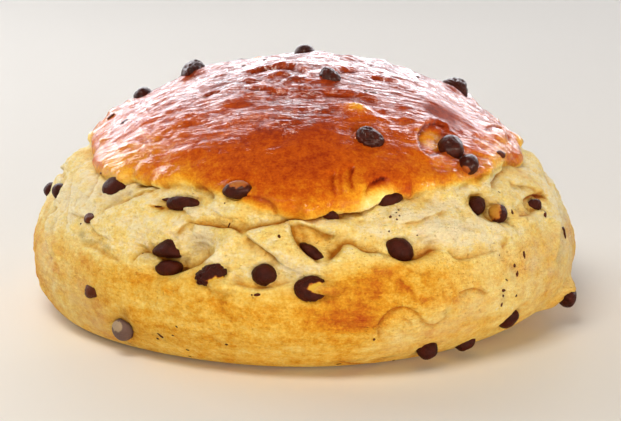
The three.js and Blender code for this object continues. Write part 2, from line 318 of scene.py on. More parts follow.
# The lower edge of the cap, from left to right.
CAP_LINE = tuple(EdgePoint(*row) for row in (
    ((93, 139), 2.0), ((103, 172), 1.6), ((118, 180), 2.6), ((136, 175), 3.0), ((155, 180), 2.0),
    ((185, 187), 0.4), ((230, 200), 0.2), ((268, 214), 0.4), ((300, 215), 2.2), ((345, 204), 2.8),
    ((392, 195), 2.2), ((440, 188), 0.6), ((478, 179), 0.4), ((503, 163), 1.0), ((512, 147), 1.8),
))

# Where the cap's brown gives way to yellow, and where the baked band begins.
BROWN_LINE = (
    (92, 140), (102, 176), (118, 181), (136, 176), (155, 179), (185, 184), (215, 192), (240, 203),
    (268, 212), (300, 215), (345, 203), (368, 194), (388, 189), (405, 194), (425, 188), (455, 185),
    (480, 181), (498, 164), (511, 147),
)
BAND_LINE = (
    (40, 215), (62, 232), (78, 246), (95, 251), (122, 262), (152, 271), (170, 277), (200, 269),
    (222, 279), (245, 288), (264, 292), (300, 286), (330, 277), (360, 268), (388, 262), (410, 263),
    (438, 253), (470, 250), (500, 250), (520, 238), (545, 222), (566, 214),
)

# A row gives the pixels of the fold's line, column and row in turn, and then its other sizes.
FOLDS = tuple(Fold(tuple(zip(line[::2], line[1::2])), *sizes) for line, *sizes in (
    # the lip of the baked band, which curls up over the pale dough
    ((130, 264, 140, 258, 149, 255, 156, 261, 160, 271, 171, 277, 186, 274, 200, 267, 211, 259, 219, 250),
     2.2, 3.0, -1.6, 1.2, 0.16),
    ((84, 247, 97, 250, 112, 259, 124, 263), 0.9, 2.6, -0.7, 0.4, 0.1),
    ((326, 264, 335, 261, 342, 254, 346, 248, 354, 248, 361, 253, 371, 256, 388, 255), 1.9, 2.8, -1.0, 1.0,
     0.14),
    ((388, 255, 396, 262, 409, 264, 424, 261, 436, 254, 444, 250), 1.9, 3.0, -1.2, 1.1, 0.12),
    ((444, 250, 450, 254, 456, 261, 470, 260, 486, 255, 502, 251), 0.9, 2.4, -0.6, 0.4, 0.06),
    ((502, 251, 506, 245, 508, 238), 0.7, 2.0, -0.5, 0.3, 0.14),
    ((228, 281, 240, 288, 262, 292, 285, 287, 296, 284), 1.0, 2.4, -0.7, 0.4, 0.08),
    # the near edge of the pocket in the middle
    ((291, 224, 292, 235, 298, 248, 309, 260, 322, 266), 2.4, 3.2, -1.2, 1.2, 0.06),
    ((294, 231, 301, 228, 312, 230, 326, 236, 339, 240), 0.9, 3.0, 1.2, 0.6, 0.14),
    # tears in the pale dough
    ((186, 219, 191, 225, 199, 228, 209, 229, 220, 231, 233, 232, 246, 238), 2.0, 2.6, -1.0, 1.2, 0.16),
    ((176, 238, 180, 232, 187, 227, 196, 228), 1.3, 3.0, 0.5, 0.6, 0.12),
    ((158, 199, 170, 207, 184, 213, 196, 221), 1.0, 3.0, 0.6, 0.6, 0.1),
    ((244, 237, 254, 245, 265, 252, 275, 260, 281, 271), 1.2, 3.2, 0.7, 0.7, 0.12),
    ((236, 241, 224, 248, 214, 257, 203, 268), -1.6, 3.2, 0, 0, -0.04),
    ((400, 228, 408, 225, 419, 224, 428, 219, 440, 215, 449, 209), 0.8, 2.2, 0.5, 0.4, 0.18),
    ((104, 216, 113, 209, 124, 205, 135, 199, 143, 194), 1.1, 2.6, -0.8, 0.5, 0.12),
    ((128, 188, 131, 182, 139, 179, 148, 180, 155, 184, 158, 190), 1.3, 1.8, 0.7, 0.6, 0.2),
    ((118, 202, 130, 197, 141, 191, 153, 191), 0.8, 2.0, 0.5, 0.3, 0.1),
    ((152, 207, 158, 208, 164, 210), 1.0, 1.4, 0.4, 0.4, 0.3),
    ((196, 188, 207, 190, 215, 197, 211, 202), 0.8, 2.2, 0.5, 0.4, 0.08),
    ((244, 199, 258, 200, 271, 205, 277, 213, 272, 218), 0.9, 2.4, 0.6, 0.4, 0.06),
    ((207, 208, 222, 219, 236, 221), 0.5, 2.4, 0.3, 0.3, 0.06),
    ((68, 214, 88, 222, 101, 236, 113, 243), 0.6, 3.0, 0.5, 0.3, 0.05),
    # the crease that runs on from the furrow under the cap
    ((242, 238, 250, 233, 259, 230.5, 270, 228.5, 282, 226, 294, 221, 308, 217), 2.4, 2.8, -0.9, 1.2, 0.2),
    ((300, 218, 323, 213, 345, 208, 366, 206, 380, 202), 1.9, 3.0, 0.7, 1.2, 0.16),
    ((338, 222, 344, 214, 356, 211, 368, 210), 1.2, 2.6, 0.5, 0.6, 0.2),
    # a strand pulled tight between the cap and the dough, and the pockets beside it
    ((481, 164, 483, 180, 487, 193, 496, 200, 505, 206, 511, 213, 514, 219), -2.2, 1.8, 0, 0, -0.06),
    ((503, 207, 504, 219, 511, 229, 517, 243), -1.2, 1.8, 0, 0, -0.04),
    ((466, 210, 469, 201, 476, 195, 487, 195), 0.6, 2.0, 0.4, 0.3, 0.1),
    ((478, 216, 486, 220, 493, 224, 503, 222), 1.0, 2.0, -0.7, 0.5, 0.08),
    ((524, 207, 526, 200, 534, 195, 544, 196, 547, 203), 1.6, 2.2, 0.7, 0.6, 0.3),
    ((518, 218, 532, 216, 539, 211, 546, 211), 1.0, 2.0, -0.8, 0.4, 0.1),
    ((509, 178, 516, 186, 530, 188, 543, 195), 0.9, 2.4, 0.6, 0.4, 0.08),
    ((488, 188, 496, 178, 506, 168), 1.0, 2.2, 0.5, 0.5, 0.16),
    # folds down the two ends
    ((59, 207, 49, 222, 46, 236, 49, 250, 52, 262), 1.6, 2.6, 0.8, 0.6, 0.4),
    ((66, 212, 58, 228, 56, 244, 60, 262, 66, 276), -0.9, 2.4, 0, 0, -0.05),
    ((84, 158, 74, 180, 70, 205, 66, 232), 0.5, 2.6, 0.4, 0.3, 0.05),
    ((100, 150, 95, 170, 92, 190, 86, 206), 0.6, 2.4, 0.4, 0.3, 0.04),
    ((545, 180, 553, 198, 557, 220, 558, 242, 555, 266), 1.8, 2.6, -1.3, 0.8, 0.14),
    ((532, 152, 541, 166, 549, 184, 556, 200), 0.9, 2.0, 0.6, 0.4, 0.08),
    # folds at the cap's front edge
    ((334, 176, 333, 186, 335, 197), 0.8, 1.6, 0.3, 0.2, 0.14),
    ((353, 170, 350, 182, 352, 194), 0.8, 1.6, 0.3, 0.2, 0.14),
    ((362, 196, 367, 189, 376, 183, 386, 181), 1.1, 2.0, 0.5, 0.4, 0.16),
    ((405, 184, 407, 191, 412, 198), -1.0, 1.6, 0, 0, 0.12),
    ((341, 176, 340, 186, 343, 197), 0.5, 1.6, 0.2, 0.2, 0.08),
    # waves of the cap's glossy top
    ((246, 83, 255, 77, 265, 73.5, 276, 71.5, 287, 72, 297, 74, 304, 78.5, 309, 83), 1.0, 1.8, 0.7, 0.4,
     -0.08),
    ((270, 84, 280, 81, 292, 82), 0.6, 1.4, 0.3, 0.2, -0.08),
    ((252, 93, 264, 93, 279, 97, 290, 95), 0.7, 1.6, 0.4, 0.2, -0.05),
    ((330, 79, 342, 74, 357, 74), 0.9, 1.8, 0.5, 0.3, -0.1),
    ((344, 58, 353, 61, 362, 64), 0.7, 1.6, 0.4, 0.2, -0.05),
    ((366, 81, 380, 83.5, 397, 90), 0.9, 1.9, 0.5, 0.3, -0.1),
    ((372, 67, 388, 71, 408, 78), 0.6, 1.5, 0.3, 0.2, 0),
    ((318, 96, 338, 98, 360, 100, 380, 108), 0.8, 2.2, 0.5, 0.3, -0.1),
    ((206, 106, 215, 100, 227, 97), 0.8, 1.8, 0.5, 0.3, -0.05),
    ((170, 96, 182, 90, 194, 86), 0.5, 1.4, 0.3, 0.2, 0),
    ((150, 118, 164, 108, 180, 102), 0.5, 1.4, 0.3, 0.2, 0),
    ((137, 134, 146, 133, 153, 140, 163, 143, 171, 136, 192, 127, 212, 119), -0.6, 1.3, 0, 0, -0.03),
    ((121, 159, 135, 150, 156, 151, 169, 156, 185, 154, 206, 148.5, 230, 148), -0.7, 1.3, 0, 0, -0.03),
    ((170, 161, 188, 157, 208, 153, 226, 152), -0.4, 1.1, 0, 0, 0),
    ((474, 135, 489, 133, 500, 141, 506, 151), 0.9, 1.8, 0.6, 0.4, 0.1),
    # the rim of the crater, run clockwise
    ((441.5, 146, 438, 156, 428, 160.5, 419, 157, 414.5, 146, 417, 134, 427, 129, 437, 132, 441, 141), 1.1,
     1.4, 0.7, 0.3, 0.1),
    # puckers at the foot
    ((378, 347, 378, 327, 388, 314, 403, 309, 415, 313, 424, 323, 433, 327, 443, 322, 450, 312), 0.9, 1.8,
     0.5, 0.3, 0.08),
    ((400, 320, 408, 322, 414, 328), 0.6, 1.6, 0.3, 0.2, 0.08),
    ((455, 296, 466, 292, 478, 291, 490, 297), 0.8, 1.8, 0.5, 0.3, 0.1),
    ((398, 278, 403, 286, 411, 292, 416, 303), 0.3, 1.6, 0.25, 0.1, 0.1),
    ((335, 362, 352, 365, 370, 366, 392, 365, 415, 359), 1.0, 2.0, 0.7, 0.4, 0.2),
))

SWELLINGS = tuple(Swelling(*row) for row in (
    # lumps and dents of the cap
    ((97, 139), (3.2, 2.6), 0, 3.2, -0.24), ((114, 106), (6, 5), 40, 2.6), ((506, 134), (8, 8), 0, -1.6),
    ((356, 114), (3.9, 2.6), -10, 1.8, -0.34), ((428, 144), (5.0, 5.0), 0, -1.2, -0.24, 6),
    ((497, 120), (1.6, 1.6), 0, 1.8, -0.2), ((300, 76), (10, 12), 0, 1.2), ((415, 112), (16, 14), -25, 1.4),
    ((210, 100), (22, 16), 20, 1.2),
    # the torn dough, from left to right
    ((78, 176), (9, 8), 60, 1.2), ((119, 228), (15, 9), 0, 1.6), ((139, 182), (7.5, 2.6), 6, -2.4, 0.02, 3),
    ((178, 251), (11, 5.5), 0, -3.0, 0, 3), ((203, 258), (6, 5), 45, -1.6, -0.02),
    ((190, 213), (15, 5), -14, 1.2), ((250, 258), (11, 5.5), -20, 0.8, -0.02),
    ((272, 243), (9, 3.6), -35, 1.4, -0.02), ((262, 278), (9, 5), 0, -2.0),
    ((321, 246), (8.5, 5.4), -15, -4.2, 0.05, 3), ((336, 256), (3.6, 1.7), 35, -0.5, 0.06),
    ((320, 229), (9, 3), -10, 1.2, 0.06), ((363, 228), (15, 6), 5, -1.6, -0.04, 3),
    ((419, 250), (8.5, 4.4), 14, -2.8, 0.06, 3), ((455, 233), (18, 7), 8, 1.6, -0.05),
    ((430, 203), (16, 4), 12, -0.8, -0.03), ((488, 209), (7, 5), -20, -0.6, 0.06, 3),
    ((536, 206), (5.5, 3.4), 0, -0.8, 0.05, 3), ((530, 160), (10, 8), -40, 1.8),
    # the baked band
    ((560, 290), (3, 3.4), 0, 2.2), ((404, 330), (8, 6.5), 0, 0.5, -0.05, 4),
    ((118, 285), (18, 9), -20, 1.0), ((420, 305), (22, 9), 8, 0.8),
))

# Where the dough meets a drop otherwise than in its seat.
COVERS = (
    # it closes over part of one
    Swelling((223, 287), (4.2, 2.2), -6, 3.2, 0, 4),
    Swelling((327, 291.3), (4.6, 1.9), -3, 3.4, 0, 4),
    Swelling((487, 206), (1.8, 2.6), 0, 1.3),
    # it has drawn back from one
    Swelling((117, 198), (5.0, 2.6), -12, -2.6, 0, 4),
    Swelling((170, 277.5), (5.0, 1.6), 0, -1.6, 0, 4),
    Swelling((120, 341), (4.2, 2.0), -20, -1.4, 0, 4),
    Swelling((389, 252), (2.4, 3.4), 10, -1.8, 0, 4),
    Swelling((194, 83), (4.4, 3.0), 20, -1.8, 0, 4),
    Swelling((452, 98), (4.2, 3.0), -24, -1.4, 0, 4),
)

# Where a film of glaze or dough covers part of a drop, and how thick it is.
FILMS = (
    Patch((237.5, 183.5), (4.4, 2.2), -3, 0.55, 4),
    Patch((224, 287), (5.4, 2.7), -6, 1.0, 4),
    Patch((325, 291.3), (5.6, 2.0), -3, 1.0, 4),
    Patch((493.5, 212.5), (2.6, 3.4), -15, 0.64, 4),
    Patch((465, 172), (2.0, 1.6), 0, 0.5, 4),
)

# Where raw dough has dried over a drop: a grey veil, paler where it is thick.
VEILS = (
    Patch((122, 331), (4.6, 5.0), 0, 0.45, 4),
    Patch((117.5, 328), (1.6, 2.2), 20, 0.74, 4),
)

# Where chocolate shows through thin dough or is smeared over it.
SMEARS = tuple(Patch(*row) for row in (
    ((84, 236), (2.2, 1.2), -35, 0.5), ((90, 243), (3.2, 1.0), -25, 0.3),
    ((108, 250), (2.6, 1.6), -10, 0.3), ((202, 190), (3.2, 1.4), 10, 0.28),
    ((214, 196), (2.0, 2.0), -40, 0.5), ((268, 204), (4.4, 1.6), -30, 0.24),
    ((196, 245), (4.4, 2.4), 20, 0.2), ((292, 275), (3.0, 2.4), -20, 0.2),
    ((344, 216), (3.6, 1.8), 12, 0.5), ((126, 318), (2.0, 3.0), 0, 0.4),
    ((390, 216), (2.4, 1.6), -40, 0.25), ((514, 210), (1.0, 2.4), 60, 0.35),
    ((446, 314), (2.2, 1.4), 40, 0.25), ((150, 261), (2.2, 1.2), -40, 0.35),
    ((386, 360), (4.0, 1.1), 4, 0.5), ((414, 356), (2.4, 1.2), 20, 0.45), ((348, 363), (5.0, 0.9), 0, 0.4),
    ((512, 276), (1.6, 3.0), 0, 0.22), ((503, 297), (1.6, 3.0), 10, 0.25),
    ((161, 338), (2.4, 1.2), -20, 0.3), ((128, 344), (3.0, 1.2), -20, 0.3),
))

# Where the egg wash has dried matt and smooth: the front of the cap, under its glossy top, and a patch at its
# right. A negative amount keeps a streak glossy.
MATTE_CAP = (
    Patch((292, 178), (52, 21), 0, 1, 4),
    Patch((437, 121), (9, 7), -30, 1.25, 2),
    Patch((240, 112), (6, 2.6), -10, 0.8),
    Patch((175, 152), (19, 3.4), 2, -1.2, 4),
)

# Where the baked dough is browner than the rest, or, with a negative amount, paler.
SHADES = tuple(Patch(*row) for row in (
    # the baked band, the ends and the foot
    # (300, 236) is painted shade on the wall of the middle pocket; the paler (508, 303) and (300, 352) are
    # painted light on the foot, where it turns under away from the lamps
    ((366, 303), (14, 9), 10, 0.11), ((347, 323), (9, 7), 0, 0.11), ((398, 271), (12, 3), 8, 0.07),
    ((352, 285), (8, 4), 0, 0.06), ((150, 276), (12, 4), -14, 0.06), ((440, 277), (8, 5), 0, -0.03),
    ((405, 284), (24, 10), 6, 0.03), ((300, 236), (2.4, 4.6), 30, 0.12), ((520, 171), (8, 6), -40, 0.19),
    ((98, 200), (10, 8), 0, -0.07), ((200, 213), (8, 4), 0, -0.04), ((295, 325), (14, 7), 0, 0.04),
    ((528, 215), (7, 8), 20, 0.07), ((62, 290), (9, 12), 0, -0.06), ((508, 303), (17, 14), 0, -0.13),
    ((300, 352), (40, 5), 0, -0.04), ((560, 240), (9, 18), 0, -0.09), ((47, 245), (6, 16), 0, -0.05),
    ((56, 181), (4, 1.6), 20, 0.2), ((542, 197), (3, 1.8), -30, 0.26), ((403, 335), (7, 6), 0, -0.05),
    # yellow webs and greyer floors of the torn dough
    ((232, 243), (8, 4), -30, 0.07), ((294, 250), (3, 6), 35, 0.06), ((350, 250), (7, 3), 0, 0.05),
    ((256, 262), (9, 5), -30, 0.04), ((125, 200), (10, 4), 20, 0.04), ((240, 215), (14, 5), -10, 0.01),
    ((190, 245), (6, 4), 0, -0.05), ((286, 272), (6, 4), -20, -0.05), ((430, 235), (16, 6), 0, -0.07),
    ((215, 222), (16, 3), 4, 0.06), ((270, 236), (12, 3), -12, 0.05), ((300, 212), (14, 3), -12, 0.05),
    ((108, 218), (9, 4), -30, 0.05), ((500, 215), (7, 8), 0, 0.04), ((140, 225), (14, 7), 0, -0.06),
    ((378, 186), (6.5, 3.2), 10, 0.2), ((75, 200), (7, 9), 0, -0.06),
    # the cap's ends are more orange than its middle
    ((127, 161), (11, 8), 20, -0.18), ((165, 150), (13, 7), 10, -0.08), ((498, 150), (7, 9), 0, -0.18),
    ((438, 123), (8, 7), -30, 0.14), ((440, 172), (12, 4), -5, -0.06), ((250, 180), (14, 5), 0, 0.05),
    ((120, 172), (7, 2.5), 0, -0.06),
))

# Where the dough has dried dull and dusty: its two ends, parts of the foot, and the floors of the torn dough.
DUSTY = tuple(Patch(*row) for row in (
    ((45, 245), (8, 18), 0, 0.6), ((568, 235), (10, 20), 0, 0.7), ((540, 270), (12, 16), -40, 0.45),
    ((85, 312), (16, 10), -35, 0.4), ((465, 322), (22, 9), 20, 0.4), ((520, 195), (12, 9), 0, 0.2),
    ((447, 233), (20, 8), 6, 0.6), ((400, 340), (7, 6), 0, 0.3), ((75, 195), (9, 12), 0, 0.35),
    ((101, 200), (9, 8), 0, 0.4), ((190, 245), (8, 5), 0, 0.4), ((284, 272), (10, 5), -20, 0.4),
))


def along_curve(corners: Array, steps: int = 4) -> Array:
    """Draws a smooth curve through corners.

    Args:
        corners: points, one to a row.
        steps: how many points lie on each stretch between two corners.

    Returns:
        The curve's points, one to a row.
    """
    before, after = 2 * corners[:1] - corners[1:2], 2 * corners[-1:] - corners[-2:-1]
    padded = np.concatenate([before, corners, after])
    rows = []
    for a, b, c, d in zip(padded, padded[1:], padded[2:], padded[3:]):
        for t in np.arange(steps) / steps:
            bend = (2 * a - 5 * b + 4 * c - d) * t * t + (3 * b - a - 3 * c + d) * t**3
            rows.append((2 * b + (c - a) * t + bend) / 2)
    return np.array([*rows, corners[-1]])


@dataclass(frozen=True)
class LoafForm:
    """The loaf's shape, the same as its solid's, before any relief.

    Attributes:
        width, depth, height: over all.
        belly: the height of the widest line.
        dome_power, under_power: how full the upper and lower outlines are, as superellipse powers.
        under_reach: how far the underside would go down if the base didn't cut it.
        spread: waves round the belly, each with its count, its depth and its angle in degrees.
        cap_proud: how far the cap's edge stands out.
        cap_edge: over how long a stretch it rounds off.
        tear_width: the furrow under the cap's edge.
        slope_length: millimetres along the dough's slope to one of height, near the cap's edge.
        skirt: the height over which the relief dies out above the base.
        crown: how far round the top the outline is blunted, as a share of the width.
        foot: how tightly the side turns into the base: more is tighter.
        sight_step: how closely a line of sight is searched for the dough.
    """

    width: float = 182.6
    depth: float = 176
    height: float = 83
    belly: float = 22.5
    dome_power: Sided = Sided(1.7, 1.66)
    under_power: Sided = Sided(2.75, 2.15)
    under_reach: Sided = Sided(37, 35)
    spread: tuple[tuple[float, float, float], ...] = ((2, 0.8, 40), (3, 0.8, 200), (5, 0.6, 95))
    cap_proud: float = 2.6
    cap_edge: float = 5
    tear_width: float = 3.6
    slope_length: float = 1.45
    skirt: float = 9
    crown: float = 0.05
    foot: float = 34
    sight_step: float = 0.4

    @property
    def middle(self) -> Array:
        """The point that the form is measured from."""
        return np.array([0, 0, self.belly])

    def bare_reach(self, directions: Array) -> Array:
        """Measures the bare dough.

        Args:
            directions: ways out from the middle, one to a row.

        Returns:
            How far the dough reaches from the middle each way.
        """
        azimuth = np.arctan2(directions[:, 1], directions[:, 0])
        left = (1 - np.cos(azimuth)) / 2
        oval = 1 / np.hypot(np.cos(azimuth) / (self.width / 2), np.sin(azimuth) / (self.depth / 2))
        turns = [(size, count * azimuth + math.radians(angle)) for count, size, angle in self.spread]
        waves = sum(size * np.cos(turn) for size, turn in turns)
        up = directions[:, 2] >= 0
        power = np.where(up, self.dome_power.at(left), self.under_power.at(left**3))
        tall = np.where(up, self.height - self.belly, self.under_reach.at(left**3))
        flat = np.hypot(np.hypot(directions[:, 0], directions[:, 1]), self.crown * up)
        across = flat / (oval + waves)
        along = np.abs(directions[:, 2]) / tall
        return (across**power + along**power) ** (-1 / power)

    def bare_points(self, directions: Array) -> Array:
        """The points of the bare dough in each direction."""
        return directions * self.bare_reach(directions)[:, None] + self.middle

    def seen(self, pixel: Pixel) -> Array:
        """Finds the place of the bare dough that the photograph shows at a pixel.

        Args:
            pixel: its column and row.

        Returns:
            The point, or the nearest one where the line of sight just misses.
        """
        far = np.arange(VIEW.distance - self.width, VIEW.distance + self.width / 2, self.sight_step)
        offsets = VIEW.eye + VIEW.ray(pixel) * far[:, None] - self.middle
        gap = np.linalg.norm(offsets, axis=1) - self.bare_reach(unit(offsets))
        touching = np.flatnonzero(gap <= 0)
        index = touching[0] if len(touching) else int(np.argmin(gap))
        return self.bare_points(unit(offsets[index : index + 1]))[0]

    def turned(self, point: Array) -> Array:
        """The same place on the back of the loaf."""
        offset = (point - self.middle) * np.array([-1, -1, 1])
        return self.bare_points(unit(offset[None]))[0]

    def both(self, pixels: Iterable[Pixel]) -> tuple[Array, Array]:
        """The points that pixels show, and the same places on the back."""
        front = np.array([self.seen(pixel) for pixel in pixels])
        return front, np.array([self.turned(point) for point in front])

    def flow(self, directions: Array) -> Array:
        """Unrolls the loaf for strands that run from its left end to its right, as if round a long cylinder.

        Args:
            directions: ways out from the middle, one to a row.

        Returns:
            A place for each, whose X runs along the strands.
        """
        radius = self.width / 2
        along = np.arcsin(np.clip(directions[:, 0], -1, 1)) * radius
        return np.column_stack([along, unit(directions[:, 1:] + 1e-9) * radius])

    def outward(self, points: Array) -> Array:
        """Finds the way straight out of the bare dough.

        Args:
            points: places near it, one to a row.

        Returns:
            A direction for each.
        """
        nudge = 0.5
        slopes = []
        for axis in np.eye(3) * nudge:
            above, below = (points + sign * axis - self.middle for sign in (1, -1))
            gaps = [np.linalg.norm(side, axis=1) - self.bare_reach(unit(side)) for side in (above, below)]
            slopes.append(gaps[0] - gaps[1])
        return unit(np.stack(slopes, axis=1))

    def axes_at(self, point: Array, turn: float) -> tuple[Array, Array, Array]:
        """Lays axes on the dough.

        Args:
            point: where they meet.
            turn: how many degrees the first leans from level.

        Returns:
            Two ways along the dough, and the way out of it.
        """
        out = self.outward(point[None])[0]
        facing = np.array([-1.0, 0, 0]) if point[1] > 0 else np.array([1.0, 0, 0])
        right = unit(facing - out * (facing @ out))
        up = np.cross(out, right)
        angle = math.radians(turn)
        along = right * math.cos(angle) + up * math.sin(angle)
        across = up * math.cos(angle) - right * math.sin(angle)
        return along, across, out


class RoundLine:
    """A line that runs once round the loaf, through places of the photograph and the same on the back."""

    def __init__(
        self, form: LoafForm, pixels: Sequence[Pixel], values: Sequence[float] | None = None
    ) -> None:
        """Lays the line on the loaf.

        Args:
            form: the loaf that it lies on.
            pixels: its places on the front, from left to right.
            values: a number for each place, carried along the line.
        """
        points = np.concatenate(form.both(pixels))
        azimuth = np.arctan2(points[:, 1], points[:, 0])
        carried = np.tile(values if values is not None else np.zeros(len(pixels)), 2)
        order = np.argsort(azimuth)
        self.azimuth, self.height, self.value = azimuth[order], points[order, 2], carried[order]

    def _look_up(self, azimuth: Array, rows: Array) -> Array:
        """Reads numbers off the line.

        Args:
            azimuth: where round the loaf, in radians.
            rows: a number for each place of the line.

        Returns:
            The number at each azimuth, smoothly from place to place.
        """
        turn = 2 * math.pi
        places = np.concatenate([self.azimuth[-1:] - turn, self.azimuth, self.azimuth[:1] + turn])
        looped = np.concatenate([rows[-1:], rows, rows[:1]])
        after = np.clip(np.searchsorted(places, azimuth, side="right"), 1, len(places) - 1)
        share = ease((azimuth - places[after - 1]) / (places[after] - places[after - 1]), 0, 1)
        return mix(looped[after - 1], looped[after], share)

    def above(self, points: Array) -> Array:
        """How high each point lies above the line."""
        return points[:, 2] - self._look_up(np.arctan2(points[:, 1], points[:, 0]), self.height)

    def carried(self, points: Array) -> Array:
        """The line's number, above or below each point."""
        return self._look_up(np.arctan2(points[:, 1], points[:, 0]), self.value)


def spot(form: LoafForm, mark: Swelling | Patch, middle: Array, points: Array) -> Array:
    """Shows one mark on the dough.

    Args:
        form: the loaf that it lies on.
        mark: a swelling or patch.
        middle: its middle, on the front or the back.
        points: places on the dough, one to a row.

    Returns:
        How strongly it shows at each: 1 in its middle, and nothing from three half lengths away.
    """
    along, across, _ = form.axes_at(middle, mark.turn)
    offset = points - middle
    near = np.linalg.norm(offset, axis=1) < 3 * max(mark.half)
    squared = (dot(offset, along) / mark.half[0]) ** 2 + (dot(offset, across) / mark.half[1]) ** 2
    return np.where(near, np.exp(-(squared ** (mark.power / 2))), 0)


def spots(
    form: LoafForm, marks: Iterable[Swelling | Patch], points: Array, back: bool = True
) -> Iterable[tuple[Swelling | Patch, Array]]:
    """Shows marks one after another, on the front and the back.

    Args:
        form: the loaf that they lie on.
        marks: swellings or patches.
        points: places on the dough, one to a row.
        back: whether they are repeated on the back.

    Returns:
        Each mark, with how strongly it shows at each point.
    """
    for mark in marks:
        front = form.seen(mark.at)
        shown = spot(form, mark, front, points)
        if back:
            shown = shown + spot(form, mark, form.turned(front), points)
        yield mark, shown


# What the dough's mesh carries for its material.
SHADES_CARRIED = ("browning", "glaze", "gloss", "dry", "crease", "cocoa", "hollow")


@dataclass
class Skin:
    """The loaf's surface while it is being shaped: where its points are, and the shades that they carry.

    Attributes:
        directions: from the middle of the form.
        bare: the points before any relief.
        relief: how far each point stands out of the bare dough.
        slide: how far each point is carried along the dough.
        torn: how much it is stretched dough with no skin.
        browning: from 0, pale dough, to 1, the darkest crust.
        glaze: how much egg wash covers it.
        gloss: how glossy that wash is.
        dry: how dull and dusty it has dried.
        crease: painted shade, in the folds and in a narrow ring round each drop.
        cocoa: how much chocolate shows through or is smeared over it.
        hollow: how deep it lies below the dough around it.
    """

    directions: Array
    bare: Array
    relief: Array = field(init=False)
    slide: Array = field(init=False)
    torn: Array = field(init=False)
    browning: Array = field(init=False)
    glaze: Array = field(init=False)
    gloss: Array = field(init=False)
    dry: Array = field(init=False)
    crease: Array = field(init=False)
    cocoa: Array = field(init=False)
    hollow: Array = field(init=False)

    def __post_init__(self) -> None:
        """Starts every shade at nothing."""
        count = len(self.bare)
        self.slide = np.zeros((count, 3))
        for name in ("relief", "torn", *SHADES_CARRIED):
            setattr(self, name, np.zeros(count))


@dataclass(frozen=True)
class DropSeat:
    """Where a chocolate drop sits.

    Attributes:
        middle: of its solid.
        out: the way out of the dough there.
        along, across: the ways of its length and its width.
        half: half its length and half its width.
    """

    middle: Array
    out: Array
    along: Array
    across: Array
    half: tuple[float, float]

    def share(self, points: Array) -> Array:
        """Measures how far places lie from the drop.

        Args:
            points: places, one to a row.

        Returns:
            How far each lies from the drop's middle, where its outline is at 1.
        """
        offset = points - self.middle
        flat = np.hypot(dot(offset, self.along) / self.half[0], dot(offset, self.across) / self.half[1])
        return np.hypot(flat, dot(offset, self.out) / (2 * max(self.half)))


@dataclass(frozen=True)
class FoldProfile:
    """How far the parts of a fold reach from its line, as shares of its width.

    Attributes:
        reach: what moves at all.
        plain, plain_crest: a crease or ridge without a lip, and what lies bare along it.
        wall: the lip's steep side, down into the crease.
        back: the lip's outer slope.
        floor: the crease's slope on its other side.
        dark: the painted shade in the crease, on the lip's side and the other.
        stained: its browning, partly painted shade, on the lip's side and the other.
        hang, hang_start: the part of the lip that leans over, and where its lean begins.
    """

    reach: float = 4
    plain: float = 0.55
    plain_crest: float = 0.7
    wall: float = 0.3
    back: float = 1.8
    floor: float = 1.7
    dark: tuple[float, float] = (0.25, 0.75)
    stained: tuple[float, float] = (0.22, 0.6)
    hang: float = 1.1
    hang_start: float = 0.35


